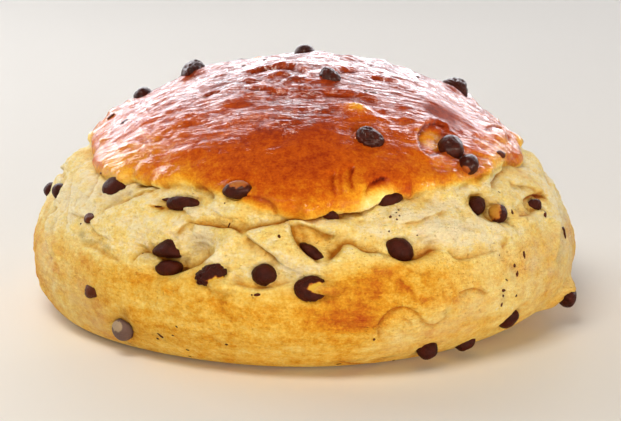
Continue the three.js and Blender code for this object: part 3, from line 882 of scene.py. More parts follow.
@dataclass(frozen=True)
class Loaf:
    """The dough of the brioche: the glazed cap, the torn pale dough and the baked band, as one skin.

    Attributes:
        form: its shape.
        cuts: how many parts each edge of the icosahedron is cut into.
        crowd: how far points move towards the torn band, in degrees.
        crowd_up: how far points move up from the base, in degrees.
        crowd_front: how much closer points lie at the front.
        profile: the shape of every fold across its line.
        fold_ends: over what share of its length a fold dies out at each end.
        lip_wobble, lip_uneven: how the lips swell and shrink, and by what share.
        edge_wander: how the cap's edge strays from its line.
        pale, band, cap: how brown the three kinds of dough are.
        cap_browns: between which heights above its edge the cap gets browner, and by how much.
        blotches, streaks, webs: of browner and paler dough.
        glaze_waves, glaze_wrinkles: in the glaze, strong where wrinkled says.
        matte_edge: how ragged the edges of the matt glaze are.
        torn_relief, band_relief: how far strands, lumps, knots and crumb stand out of either dough.
        warp, flow_bends: how the strands and the streaks of the glaze bend.
        smoothings: how often the dough is smoothed to find what lies below the rest.
        sink: how far the middle of a drop lies below the dough.
        seat_reach: how far from a drop's middle the dough is shaped to it.
        ring, ring_width: how deep the dough draws back round a drop, and over what share of the drop.
    """

    form: LoafForm = LoafForm()
    cuts: int = 99
    crowd: float = 20
    crowd_up: float = 7
    crowd_front: float = 0.3
    profile: FoldProfile = FoldProfile()
    fold_ends: tuple[float, float] = (-0.02, 0.16)
    lip_wobble: Waves = Waves(5, 5, 1)
    lip_uneven: float = 0.35
    edge_wander: Waves = Waves(3, 9)
    edge_wander_size: float = 0.7
    pale: float = 0.1
    band: float = 0.3
    cap: float = 0.46
    cap_browns: tuple[tuple[float, float, float], ...] = ((0, 5, 0.14), (4, 16, 0.08), (16, 36, 0.12))
    blotches: Waves = Waves(21, (16, 16, 9))
    streaks: Waves = Waves(22, (22, 22, 3.2))
    webs: Waves = Waves(23, (6, 6, 4), 2)
    glaze_waves: Waves = Waves(31, (24, 8, 8), 2)
    glaze_wrinkles: Waves = Waves(32, (10, 2.9, 2.9), 2)
    wrinkled: Waves = Waves(35, 15, 2)
    cap_swell: Waves = Waves(36, 16, 1)
    cap_swell_size: float = 0.35
    matte_edge: Waves = Waves(39, (12, 7, 7))
    matte_ragged: float = 0.45
    strands: Waves = Waves(33, (7, 7, 2.8))
    lumps: Waves = Waves(34, 11)
    knots: Waves = Waves(38, (4.6, 4.6, 3.0), 2)
    crumb: Waves = Waves(37, 2.4, 2)
    torn_relief: tuple[float, float, float, float] = (0.5, 0.7, 0.3, 0.26)
    band_relief: tuple[float, float, float, float] = (0.26, 0.4, 0.12, 0.13)
    warp: Waves = Waves(41, 14, 2)
    warp_size: float = 3.6
    flow_bends: Waves = Waves(44, 9, 2)
    flow_bend_size: float = 1.8
    smoothings: int = 14
    sink: float = 0.2
    seat_reach: float = 22
    ring: float = 0.4
    ring_width: float = 0.12
    # ring_shade and ring_shade_width: painted shade in a narrow ring round each drop, and over what share of
    # the drop
    ring_shade: float = 0.32
    ring_shade_width: float = 0.2

    def directions(self) -> tuple[Array, Array]:
        """Spreads the skin's points all round, closest where the folds are.

        Returns:
            The directions from the form's middle, one to a row, and the triangles between them.
        """
        ball, faces = geodesic(self.cuts)
        rise = np.arcsin(np.clip(ball[:, 2], -1, 1))
        azimuth = np.arctan2(ball[:, 1], ball[:, 0])
        front = -math.pi / 2
        azimuth = azimuth - self.crowd_front * np.sin(azimuth - front)
        towards_band = math.radians(self.crowd) * np.sin(2 * rise)
        rise = rise - towards_band + math.radians(self.crowd_up) * np.cos(rise)
        flat = np.cos(rise)
        return np.stack([np.cos(azimuth) * flat, np.sin(azimuth) * flat, np.sin(rise)], axis=1), faces

    def build(self, seats: Sequence[DropSeat]) -> bpy.types.Object:
        """Makes the loaf's mesh, with its shades as attributes.

        Args:
            seats: of the drops that sit in the dough.

        Returns:
            The piece.
        """
        directions, faces = self.directions()
        skin = Skin(directions, self.form.bare_points(directions))
        self._cap(skin)
        self._folds(skin)
        self._swellings(skin)
        self._shades(skin)
        self._skin_texture(skin)
        self._seats(skin, seats)
        self._covers(skin)
        self._smears(skin)
        points = self._stand(skin)
        loaf = mesh_object("loaf_dough", points * MM, faces)
        skin.hollow = self._hollow(points, faces)
        for name in SHADES_CARRIED:
            shade = loaf.data.attributes.new(name, "FLOAT", "POINT")
            shade.data.foreach_set("value", np.clip(getattr(skin, name), 0, 1).astype(np.float32))
        flow = self.form.flow(directions) + self.flow_bends.three(skin.bare) * self.flow_bend_size
        carried = loaf.data.attributes.new("flow", "FLOAT_VECTOR", "POINT")
        carried.data.foreach_set("vector", (flow * MM).astype(np.float32).ravel())
        return loaf

    def dress(self, piece: bpy.types.Object) -> None:
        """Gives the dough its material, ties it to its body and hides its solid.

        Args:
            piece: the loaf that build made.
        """
        piece.data.materials.append(DoughFinish().material())
        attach(piece, BODY)
        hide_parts("loaf")

    def _hollow(self, points: Array, faces: Array) -> Array:
        """Finds what lies below the dough a few millimetres around it.

        Args:
            points: of the finished dough, one to a row.
            faces: its triangles.

        Returns:
            A number for each point: 0.5 where it lies level, and 1 where it lies 1 mm below the rest.
        """
        ends = np.concatenate([faces[:, [0, 1]], faces[:, [1, 2]], faces[:, [2, 0]]])
        count = len(points)
        degree = np.bincount(ends[:, 0], minlength=count).astype(float)[:, None]
        smooth = points
        for _ in range(self.smoothings):
            totals = [np.bincount(ends[:, 0], smooth[ends[:, 1], axis], count) for axis in range(3)]
            smooth = (smooth + np.stack(totals, axis=1) / degree) / 2
        return 0.5 + 0.5 * dot(smooth - points, unit(points - self.form.middle))

    def _cap(self, skin: Skin) -> None:
        """Stands the cap over the torn dough, with a furrow under its edge.

        Args:
            skin: what is shaped.
        """
        form = self.form
        edge = RoundLine(form, [p.at for p in CAP_LINE], [p.tear for p in CAP_LINE])
        wander = self.edge_wander.at(skin.bare) * self.edge_wander_size
        above = edge.above(skin.bare) * form.slope_length + wander
        # the cap rises to its full height across its edge, and sinks back towards the top
        proud = form.cap_proud * ease(above, -0.35 * form.cap_edge, 0.65 * form.cap_edge)
        proud *= 1 - 0.6 * ease(above, form.cap_edge, 9 * form.cap_edge)
        tear = edge.carried(skin.bare)
        # the furrow is steep under the cap and runs out gently below
        furrow = np.where(above > -0.5 * form.tear_width, 0.55, 1.1) * form.tear_width
        skin.relief += proud - tear * bell((above + 0.5 * form.tear_width) / furrow)
        # the edge hangs over the furrow, the more the deeper it is
        down = np.array([0, 0, -1.0])
        lean = 0.9 * tear * bell((above - 0.5) / 2.2)
        skin.slide += down * lean[:, None]
        skin.glaze = ease(above, -0.6, 1.2)

    def _folds(self, skin: Skin) -> None:
        """Presses in every crease, with its lip leaning over it, on the front and the back.

        Args:
            skin: what is shaped.
        """
        for fold in FOLDS:
            for corners in self.form.both(fold.line):
                self._fold(skin, fold, along_curve(corners))

    def _fold(self, skin: Skin, fold: Fold, curve: Array) -> None:
        """Presses in one crease.

        Args:
            skin: what is shaped.
            fold: its sizes.
            curve: points along it, one to a row.
        """
        profile = self.profile
        reach = profile.reach * fold.width
        low, high = curve.min(0) - reach, curve.max(0) + reach
        near = np.flatnonzero(np.all((skin.bare > low) & (skin.bare < high), axis=1))
        points = skin.bare[near]

        # for each point: how far the nearest place of the curve is, which way and on which side it lies, and
        # how far along the curve that is
        away = np.full(len(near), np.inf)
        side, share = np.ones(len(near)), np.zeros(len(near))
        toward = np.zeros((len(near), 3))
        lengths = np.linalg.norm(np.diff(curve, axis=0), axis=1)
        starts = np.concatenate([[0], np.cumsum(lengths)])
        for (a, b), start, length in zip(pairwise(curve), starts, lengths):
            along = (b - a) / length
            travel = np.clip(dot(points - a, along), 0, length)
            offset = points - (a + along * travel[:, None])
            distance = np.linalg.norm(offset, axis=1)
            closer = distance < away
            away[closer] = distance[closer]
            turn = dot(np.cross(along, offset), points - self.form.middle)
            side[closer] = np.where(turn[closer] >= 0, 1, -1)
            share[closer] = (start + travel[closer]) / starts[-1]
            toward[closer] = -offset[closer] / np.maximum(distance[closer], 1e-6)[:, None]

        fade = ease(share, *self.fold_ends) * ease(1 - share, *self.fold_ends)
        wobble = 1 + self.lip_uneven * self.lip_wobble.at(points)
        t = away / fold.width
        raised = side * np.sign(fold.lift) > 0
        if fold.lift == 0:
            change = -fold.depth * bell(t / profile.plain)
            crest = bell(t / profile.plain_crest)
        else:
            crest = (1 - bell(t / profile.wall)) * bell(t / profile.back)
            step = np.where(raised, bell(t / profile.wall), bell(t / profile.floor))
            change = np.where(raised, abs(fold.lift) * crest, 0) * wobble - fold.depth * step
        skin.relief[near] += change * fade
        if fold.depth > 0:
            # painted shade in the crease, narrow on the lip's side and wider on the other
            dark = np.where(raised, *(bell(t / width) for width in profile.dark))
            skin.crease[near] += dark * fade * min(fold.depth / 2, 1)
        hang = np.where(raised, fold.hang, 0) * bell(t / profile.hang) * fade * wobble
        hang = hang * ease(t, 0.0, profile.hang_start)
        skin.slide[near] += toward * hang[:, None]
        # the crease's bottom browns by its tan, partly painted shade, and the lip's crest turns a little
        # paler
        stained = np.where(raised, *(bell(t / width) for width in profile.stained))
        skin.browning[near] += (fold.tan * stained - 0.05 * raised * crest) * fade

    def _swellings(self, skin: Skin) -> None:
        """Raises the lumps and sinks the hollows.

        Args:
            skin: what is shaped.
        """
        for swelling, shown in spots(self.form, SWELLINGS, skin.bare):
            skin.relief += swelling.rise * shown
            skin.browning += swelling.tan * shown

    def _shades(self, skin: Skin) -> None:
        """Bakes the dough: how brown it is, and where it is torn and dry.

        Args:
            skin: what is shaded.
        """
        form = self.form
        points = skin.bare
        blotch = self.blotches.at(points)
        streaks = self.streaks.at(points)
        # how far up the slope the cap's brown and the band's edge are, each about 2 mm uneven
        above = RoundLine(form, BROWN_LINE).above(points) * form.slope_length + 1.8 * blotch
        under = RoundLine(form, BAND_LINE).above(points) + 2.0 * blotch
        cap = self.cap
        for low, high, more in self.cap_browns:
            cap = cap + more * ease(above, low, high)
        cap = cap + 0.04 * blotch
        band = self.band + 0.05 * streaks + 0.05 * blotch - 0.03 * ease(points[:, 2], 14, 2)
        pale = self.pale + 0.07 * blotch + 0.03 * streaks
        in_band = ease(-under, -3, 5)
        in_cap = ease(above, -2.6, 1.6)
        skin.browning += mix(mix(pale, band, in_band), cap, in_cap)
        for patch, shown in spots(form, SHADES, points):
            skin.browning += patch.amount * shown
        # webs of the torn dough brown, and the gaps between them stay pale
        webs = self.webs.at(points)
        skin.browning += (1 - in_cap) * (0.07 * ease(webs, 0.1, 0.6) - 0.04 * ease(webs, -0.1, -0.6))
        skin.torn = (1 - in_band) * (1 - in_cap)
        skin.dry += 0.1 * skin.torn
        for patch, shown in spots(form, DUSTY, points):
            skin.dry += patch.amount * shown

    def _skin_texture(self, skin: Skin) -> None:
        """Adds the wrinkles of the glaze, the strands of the torn dough and the uneven band.

        Args:
            skin: what is shaped.
        """
        points = skin.bare
        matte = sum(patch.amount * shown for patch, shown in spots(self.form, MATTE_CAP, points))
        calm = ease(matte + self.matte_ragged * self.matte_edge.at(points), 0.1, 0.9)
        # matt glaze keeps a little of its waves and hardly any of its gloss
        lively = skin.glaze * (1 - 0.88 * calm)
        skin.gloss = skin.glaze * (1 - 0.97 * calm)
        warp = self.warp.three(points) * self.warp_size
        flow = self.form.flow(skin.directions) + warp
        patchy = ease(self.wrinkled.at(points), -0.5, 0.5)
        wrinkles = (0.24 + 0.42 * patchy) * self.glaze_wrinkles.at(flow)
        skin.relief += lively * (0.7 * self.glaze_waves.at(flow) + wrinkles)
        skin.relief += skin.glaze * self.cap_swell_size * self.cap_swell.at(points)
        bent = points + warp
        grains = (self.strands.at(bent), self.lumps.at(points), self.knots.at(bent), self.crumb.at(points))
        skin.relief += skin.torn * sum(size * grain for size, grain in zip(self.torn_relief, grains))
        in_band = (1 - skin.torn) * (1 - skin.glaze)
        skin.relief += in_band * sum(size * grain for size, grain in zip(self.band_relief, grains))

    def _seats(self, skin: Skin, seats: Sequence[DropSeat]) -> None:
        """Lays the dough level with the middle of each drop, draws it back from it in a narrow ring, and
        paints shade in that ring.

        Args:
            skin: what is shaped.
            seats: one for each drop.
        """
        form = self.form
        for seat in seats:
            near = np.flatnonzero(np.linalg.norm(skin.bare - seat.middle, axis=1) < self.seat_reach)
            offset = seat.middle - form.middle
            far = np.linalg.norm(offset)
            closest = near[np.argmax(skin.directions[near] @ (offset / far))]
            wanted = far - form.bare_reach(skin.directions[closest : closest + 1])[0]
            points = skin.bare[near] + skin.directions[near] * wanted
            share = seat.share(points)
            settling = bell(np.maximum(share - 0.9, 0) / 0.7)  # full under the drop, and gone one drop away
            skin.relief[near] += (wanted + self.sink - skin.relief[closest]) * settling
            skin.relief[near] -= self.ring * bell((share - 1.0) / self.ring_width)
            # painted shade in that ring
            skin.crease[near] += self.ring_shade * bell((share - 1.0) / self.ring_shade_width)

    def _covers(self, skin: Skin) -> None:
        """Closes the dough over parts of some drops, and draws it back from parts of others.

        Args:
            skin: what is shaped.
        """
        for swelling, shown in spots(self.form, COVERS, skin.bare, back=False):
            skin.relief += swelling.rise * shown
            # no painted shade where the dough closes over a drop or draws back from it
            skin.crease *= 1 - shown

    def _smears(self, skin: Skin) -> None:
        """Lets chocolate show through the dough."""
        for patch, shown in spots(self.form, SMEARS, skin.bare):
            skin.cocoa += patch.amount * shown

    def _stand(self, skin: Skin) -> Array:
        """Sets the loaf on its flat base, with the relief dying out above it.

        Args:
            skin: the shaped skin.

        Returns:
            The finished points, one to a row.
        """
        form = self.form
        fade = ease(skin.bare[:, 2], 0, form.skirt)
        reach = form.bare_reach(skin.directions) + skin.relief * fade
        down = np.maximum(-skin.directions[:, 2], 1e-6)
        table = form.belly / down
        reach = reach * (1 + (reach / table) ** form.foot) ** (-1 / form.foot)
        points = skin.directions * reach[:, None] + form.middle
        return points + skin.slide * fade[:, None]


def geodesic(cuts: int) -> tuple[Array, Array]:
    """An icosahedron with each edge cut into equal parts, blown up to a ball of radius 1.

    Args:
        cuts: how many parts to an edge.

    Returns:
        The corners, one to a row, and the triangles as rows of corner numbers.
    """
    golden = (1 + math.sqrt(5)) / 2
    rows = []
    for a in (-1, 1):
        for b in (-1, 1):
            rows += [(0, a, b * golden), (a, b * golden, 0), (b * golden, 0, a)]
    corners = np.array(rows, float)
    edge = 2
    apart = np.linalg.norm(corners[:, None] - corners[None], axis=2)
    joined = np.abs(apart - edge) < 1e-6
    sides = [
        (i, j, k)
        for i in range(12)
        for j in range(i + 1, 12)
        for k in range(j + 1, 12)
        if joined[i, j] and joined[j, k] and joined[i, k]
    ]
    grid = [(i, j) for i in range(cuts + 1) for j in range(cuts + 1 - i)]
    number = {place: n for n, place in enumerate(grid)}
    cells = [(number[i, j], number[i + 1, j], number[i, j + 1]) for i, j in grid if i + j < cuts]
    cells += [(number[i + 1, j], number[i + 1, j + 1], number[i, j + 1]) for i, j in grid if i + j < cuts - 1]
    shares = np.array([((cuts - i - j) / cuts, i / cuts, j / cuts) for i, j in grid])
    points, faces = [], []
    for n, side in enumerate(sides):
        a, b, c = corners[list(side)]
        out = np.cross(b - a, c - a) @ (a + b + c) > 0
        points.append(shares @ np.array([a, b, c]))
        faces.append(np.array(cells if out else [cell[::-1] for cell in cells]) + n * len(grid))
    stacked = np.concatenate(points)
    _, first, where = np.unique(np.round(stacked, 6), axis=0, return_index=True, return_inverse=True)
    return unit(stacked[first]), where.reshape(-1)[np.concatenate(faces)]


# ---- Meshes ----
def mesh_object(name: str, points: Array, faces: Array) -> bpy.types.Object:
    """Makes a smooth mesh object in the scene.

    Args:
        name: the piece's name.
        points: in metres, one to a row.
        faces: triangles, as rows of point numbers.

    Returns:
        The object.
    """
    mesh = bpy.data.meshes.new(name)
    mesh.vertices.add(len(points))
    mesh.vertices.foreach_set("co", np.ascontiguousarray(points, np.float32).ravel())
    mesh.loops.add(faces.size)
    mesh.loops.foreach_set("vertex_index", np.ascontiguousarray(faces, np.int32).ravel())
    mesh.polygons.add(len(faces))
    mesh.polygons.foreach_set("loop_start", np.arange(0, faces.size, 3, dtype=np.int32))
    mesh.update(calc_edges=True)
    mesh.validate()
    mesh.polygons.foreach_set("use_smooth", np.ones(len(faces), bool))
    return placed(name, mesh)


def placed(name: str, mesh: bpy.types.Mesh) -> bpy.types.Object:
    """Puts a mesh in the scene.

    Args:
        name: the object's name.
        mesh: its mesh.

    Returns:
        The object.
    """
    made = bpy.data.objects.new(name, mesh)
    bpy.context.scene.collection.objects.link(made)
    return made


# ---- Chocolate drops ----
@dataclass(frozen=True)
class DropCharacter:
    """How one drop differs from the rest, as the photograph shows it.

    Attributes:
        taper: how much wider its lower half is than its upper half.
        lean: how far its tip bends to the right, in millimetres.
        crumble: how rough and broken it is.
        larger: how much larger it is than its solid, as a share.
        moved: how far it sits to the right of its solid, above it and out of the dough, in millimetres.
    """

    taper: float = 0
    lean: float = 0
    crumble: float = 0
    larger: float = 0
    moved: tuple[float, float, float] = (0, 0, 0)


PLAIN_DROP = DropCharacter()
CHARACTERS = {f"drop_{number:02d}": DropCharacter(*row) for number, row in {
    3: (-0.1, 0.6, 0.1, 0.14, (0.2, -1.1, 0.9)),
    4: (0, -1.2, 0.25),
    5: (0.42, 1.7, 0.1),
    6: (-0.12, 0, 0.05, 0.08, (-0.5, -0.8, 0.8)),
    8: (0, 0, 0.9),
    11: (0, 0, 0.2, 0.12),
    13: (0, 0, 0.1, 0.1, (-0.5, -0.4, 0.5)),
    14: (0, 0, 0.5),
    15: (0.1, 0.8, 0.9, 0.2, (0, -1.0, 0)),
    16: (0.3, -0.8, 0.5, 0.08, (0, -0.8, 0.3)),
    18: (0.1, -0.8, 0.7, 0.06, (0.8, -0.6, 0.3)),
    19: (0, 1.2, 0.9, 0.22, (-1.4, -0.1, 0)),
    20: (0.1, 0.4, 0.15),
    22: (0, -0.6, 0.2),
    23: (0, -0.4, 0.2, 0.06),
    24: (0, 0.6, 0.4),
    27: (0, 0, 0.05, 0.22, (-0.3, -0.6, 0.4)),
}.items()}


@dataclass(frozen=True)
class ChocolateDrops:
    """The chocolate drops, each grown out of its solid.

    Attributes:
        nodes: the drops' solids by name.
        form: the loaf that they sit in.
        subdivisions: how often each solid is halved to round it.
        swell: how much larger each is made, because its lumps take something off.
        lumps, grain, breaks: the soft lumps, the fine grain and the broken places, each with its size.
        film_edge: how ragged the edges of the films are.
        bloom_from, bloom_to: the heights between which the drops begin to shine.
    """

    nodes: dict[str, bpy.types.Object]
    form: LoafForm
    subdivisions: int = 3
    swell: float = 1.02
    lumps: Waves = Waves(60, 2.6, 1)
    lump_size: float = 0.22
    grain: Waves = Waves(160, 0.9, 2)
    grain_size: float = 0.06
    breaks: Waves = Waves(260, 1.7, 2)
    break_size: float = 1.1
    break_level: float = 0.25
    film_edge: Waves = Waves(71, 1.6, 2)
    film_ragged: float = 0.5
    film_soft: float = 0.3
    bloom_from: float = 52
    bloom_to: float = 62

    def seats(self) -> list[DropSeat]:
        """Where each drop sits, measured from its solid.

        Returns:
            A seat for each, in the order of the solids.
        """
        found = []
        for node in self.nodes.values():
            corners = np.array([v.co for v in node.data.vertices]) / MM
            middle = (corners.min(0) + corners.max(0)) / 2
            out = self.form.outward(middle[None])[0]
            offset = corners - middle
            flat = offset - out * (offset @ out)[:, None]
            _, _, ways = np.linalg.svd(flat)
            along, across = ways[0], ways[1]
            half = (float(np.abs(flat @ along).max()), float(np.abs(flat @ across).max()))
            found.append(DropSeat(middle, out, along, across, half))
        return found

    def build(self) -> bpy.types.Object:
        """Makes all the drops as one piece, with what covers them as attributes.

        Returns:
            The piece.
        """
        joined = bmesh.new()
        for index, (name, node) in enumerate(sorted(self.nodes.items())):
            points, faces = self._grown(node, index, CHARACTERS.get(name, PLAIN_DROP))
            verts = [joined.verts.new(p) for p in points * MM]
            for face in faces:
                joined.faces.new([verts[i] for i in face]).smooth = True
        mesh = bpy.data.meshes.new("chocolate_drops")
        joined.to_mesh(mesh)
        joined.free()
        places = np.array([v.co for v in mesh.vertices]) / MM
        shades = {
            "film": self._covered(places, FILMS),
            "veil": self._covered(places, VEILS),
            "bloom": ease(places[:, 2], self.bloom_from, self.bloom_to),
        }
        for name, values in shades.items():
            mesh.attributes.new(name, "FLOAT", "POINT").data.foreach_set("value", values.astype(np.float32))
        return placed("chocolate_drops", mesh)

    def dress(self, piece: bpy.types.Object) -> None:
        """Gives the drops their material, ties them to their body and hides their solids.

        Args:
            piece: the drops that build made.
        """
        piece.data.materials.append(ChocolateFinish().material())
        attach(piece, BODY)
        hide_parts(*self.nodes)

    def _covered(self, places: Array, patches: Sequence[Patch]) -> Array:
        """Lays films over the drops, as the photograph shows them.

        Args:
            places: points of the drops, one to a row.
            patches: where the films lie.

        Returns:
            How thick the film is at each point.
        """
        ragged = self.film_ragged * self.film_edge.at(places)
        pixels = VIEW.pixel_of(places)
        film = np.zeros(len(places))
        for patch in patches:
            angle = math.radians(patch.turn)
            offset = (pixels - np.array(patch.at)) * VIEW.mm_per_pixel * np.array([1, -1])
            along = offset @ np.array([math.cos(angle), math.sin(angle)]) / patch.half[0]
            across = offset @ np.array([-math.sin(angle), math.cos(angle)]) / patch.half[1]
            inside = ease(1.15 + 0.5 * ragged - np.hypot(along, across), 0, self.film_soft)
            film = np.maximum(film, patch.amount * inside * (places[:, 1] < 0))
        return film

    def _rounded(self, node: bpy.types.Object) -> tuple[Array, Array, list[tuple[int, ...]]]:
        """Rounds a drop's solid with a subdivision surface.

        Args:
            node: the solid.

        Returns:
            The points of the rounded form, the ways out of it, and its faces as tuples of point numbers.
        """
        shape = bmesh.new()
        shape.from_mesh(node.data)
        bmesh.ops.remove_doubles(shape, verts=shape.verts, dist=1e-6)
        bent, skewed = math.radians(60), math.radians(80)  # the most that a joined pair may be
        bmesh.ops.join_triangles(
            shape, faces=shape.faces, angle_face_threshold=bent, angle_shape_threshold=skewed
        )
        cage = bpy.data.meshes.new("cage")
        shape.to_mesh(cage)
        shape.free()
        holder = placed("cage", cage)
        rounding = holder.modifiers.new("rounding", "SUBSURF")
        rounding.levels = self.subdivisions
        evaluated = holder.evaluated_get(bpy.context.evaluated_depsgraph_get()).to_mesh()
        points = np.array([v.co for v in evaluated.vertices]) / MM
        normals = np.array([v.normal for v in evaluated.vertices])
        faces = [tuple(f.vertices) for f in evaluated.polygons]
        holder.to_mesh_clear()
        bpy.data.objects.remove(holder)
        bpy.data.meshes.remove(cage)
        return points, normals, faces

    def _grown(
        self, node: bpy.types.Object, index: int, character: DropCharacter
    ) -> tuple[Array, list[tuple[int, ...]]]:
        """Grows one drop out of its solid, with soft lumps, broken places and a fine grain.

        Args:
            node: the solid.
            index: the drop's number, which picks its lumps.
            character: how it differs from the rest.

        Returns:
            Its points in millimetres, one to a row, and its faces as tuples of point numbers.
        """
        points, normals, faces = self._rounded(node)
        corners = np.array([v.co for v in node.data.vertices]) / MM
        middle = (corners.min(0) + corners.max(0)) / 2
        grown = np.ptp(corners, axis=0).mean() / np.ptp(points, axis=0).mean()
        points = middle + (points - (points.min(0) + points.max(0)) / 2) * grown * self.swell
        offset = points - middle
        up = dot(offset, VIEW.upward) / np.abs(dot(offset, VIEW.upward)).max()
        bend = character.lean * np.maximum(up, 0) ** 2 - character.taper * up * offset[:, 0]
        lumps = self.lump_size * self.lumps.numbered(index).at(points)
        grain = self.grain_size * self.grain.numbered(index).at(points)
        broken = np.abs(self.breaks.numbered(index).at(points)) - self.break_level
        rough = lumps + grain - self.break_size * character.crumble * broken
        points = points + normals * rough[:, None] + offset * character.larger
        points[:, 0] += bend
        right, above, proud = character.moved
        points += np.array([right, 0, above]) + self.form.outward(middle[None])[0] * proud
        return points, faces


# ---- Chocolate flecks ----
@dataclass(frozen=True)
class Fleck:
    """A crumb or a tiny drop of chocolate, too small for a solid.

    Attributes:
        at: the pixel of its middle.
        size: its length, width and height.
        turn: how many degrees its length leans from level.
    """

    at: Pixel
    size: tuple[float, float, float]
    turn: float = 0


FLECKS = tuple(Fleck(*row) for row in (
    # tiny drops that barely break the surface
    ((89.5, 219.5), (5.4, 3.4, 3.0), -28), ((91, 293.5), (6.6, 4.8, 3.8)),
    ((168.5, 201.2), (5.6, 1.3, 1.2), -22), ((501, 155), (4.2, 3.2, 2.8), 60),
    ((545, 215), (2.8, 1.6, 1.6), 100), ((564.5, 234), (5.4, 1.6, 1.6), 104),
    ((124, 123), (4.0, 2.6, 1.6), 40), ((111, 116), (3.4, 1.6, 1.2), 20),
    # crumbs and slits
    ((81, 225), (0.9, 0.7, 0.5)), ((101.6, 173.6), (1.3, 1.0, 0.8)), ((156, 208.6), (4.4, 0.7, 0.5), -12),
    ((230, 226), (2.8, 0.5, 0.4), 66), ((225, 205.5), (0.6, 0.8, 0.4)), ((279.6, 239), (1.1, 1.4, 0.8), 20),
    ((257.5, 297.5), (2.2, 1.1, 0.8), 5), ((252.4, 297.6), (0.7, 0.6, 0.5)),
    ((143.5, 255.5), (1.2, 0.5, 0.4), -15), ((161, 338), (2.8, 1.0, 0.6), -30),
    ((158, 340.5), (1.4, 0.9, 0.6), 10), ((173.5, 337.5), (1.5, 0.7, 0.4), 10),
    ((177, 329), (1.0, 0.6, 0.4), -20), ((188, 352), (1.5, 0.8, 0.5), -20),
    ((190, 358), (1.3, 0.8, 0.5), -20), ((227, 347), (1.3, 0.9, 0.5), 30),
    ((374.6, 342), (1.0, 1.3, 0.7), 10), ((391, 219), (1.1, 0.9, 0.6), 30), ((397, 215), (0.7, 0.6, 0.5)),
    ((399, 212.5), (0.9, 0.8, 0.6)), ((397.5, 221.5), (0.7, 0.7, 0.5)), ((400, 218), (0.7, 0.6, 0.5)),
    ((389.5, 234), (0.6, 0.9, 0.4)), ((417.5, 237.5), (0.8, 0.5, 0.4)), ((403, 241), (1.9, 0.8, 0.6), -45),
    ((499.5, 257), (0.7, 0.6, 0.4)), ((515, 267.5), (1.3, 1.4, 0.5)), ((517.5, 275), (1.3, 2.4, 0.5)),
    ((524.6, 256.5), (1.2, 2.6, 0.6), 8), ((504, 292.5), (1.9, 1.1, 0.5)), ((503.5, 298), (1.1, 1.1, 0.4)),
    ((516.5, 297.5), (1.1, 1.1, 0.4)), ((502, 306.5), (1.1, 1.8, 0.5)), ((507, 282), (1.2, 0.6, 0.4), -30),
    ((512.5, 213), (0.9, 2.2, 0.6), 20), ((500, 194), (1.6, 0.5, 0.4), -30),
    ((535, 147.5), (0.8, 1.0, 0.4)), ((374, 94), (3.0, 1.0, 0.8), -10), ((366, 92), (1.6, 0.7, 0.6), -10),
    ((340, 53), (2.2, 1.4, 1.2)), ((264, 60), (1.8, 0.8, 0.7)), ((244, 66), (2.0, 0.9, 0.7), 10),
    ((418, 77), (1.6, 1.2, 1.0)), ((443, 77), (3.2, 2.6, 2.6)), ((339, 366), (2.0, 0.8, 0.6)),
    ((384, 364), (2.0, 0.8, 0.6)), ((394, 362), (1.4, 0.7, 0.5)),
))


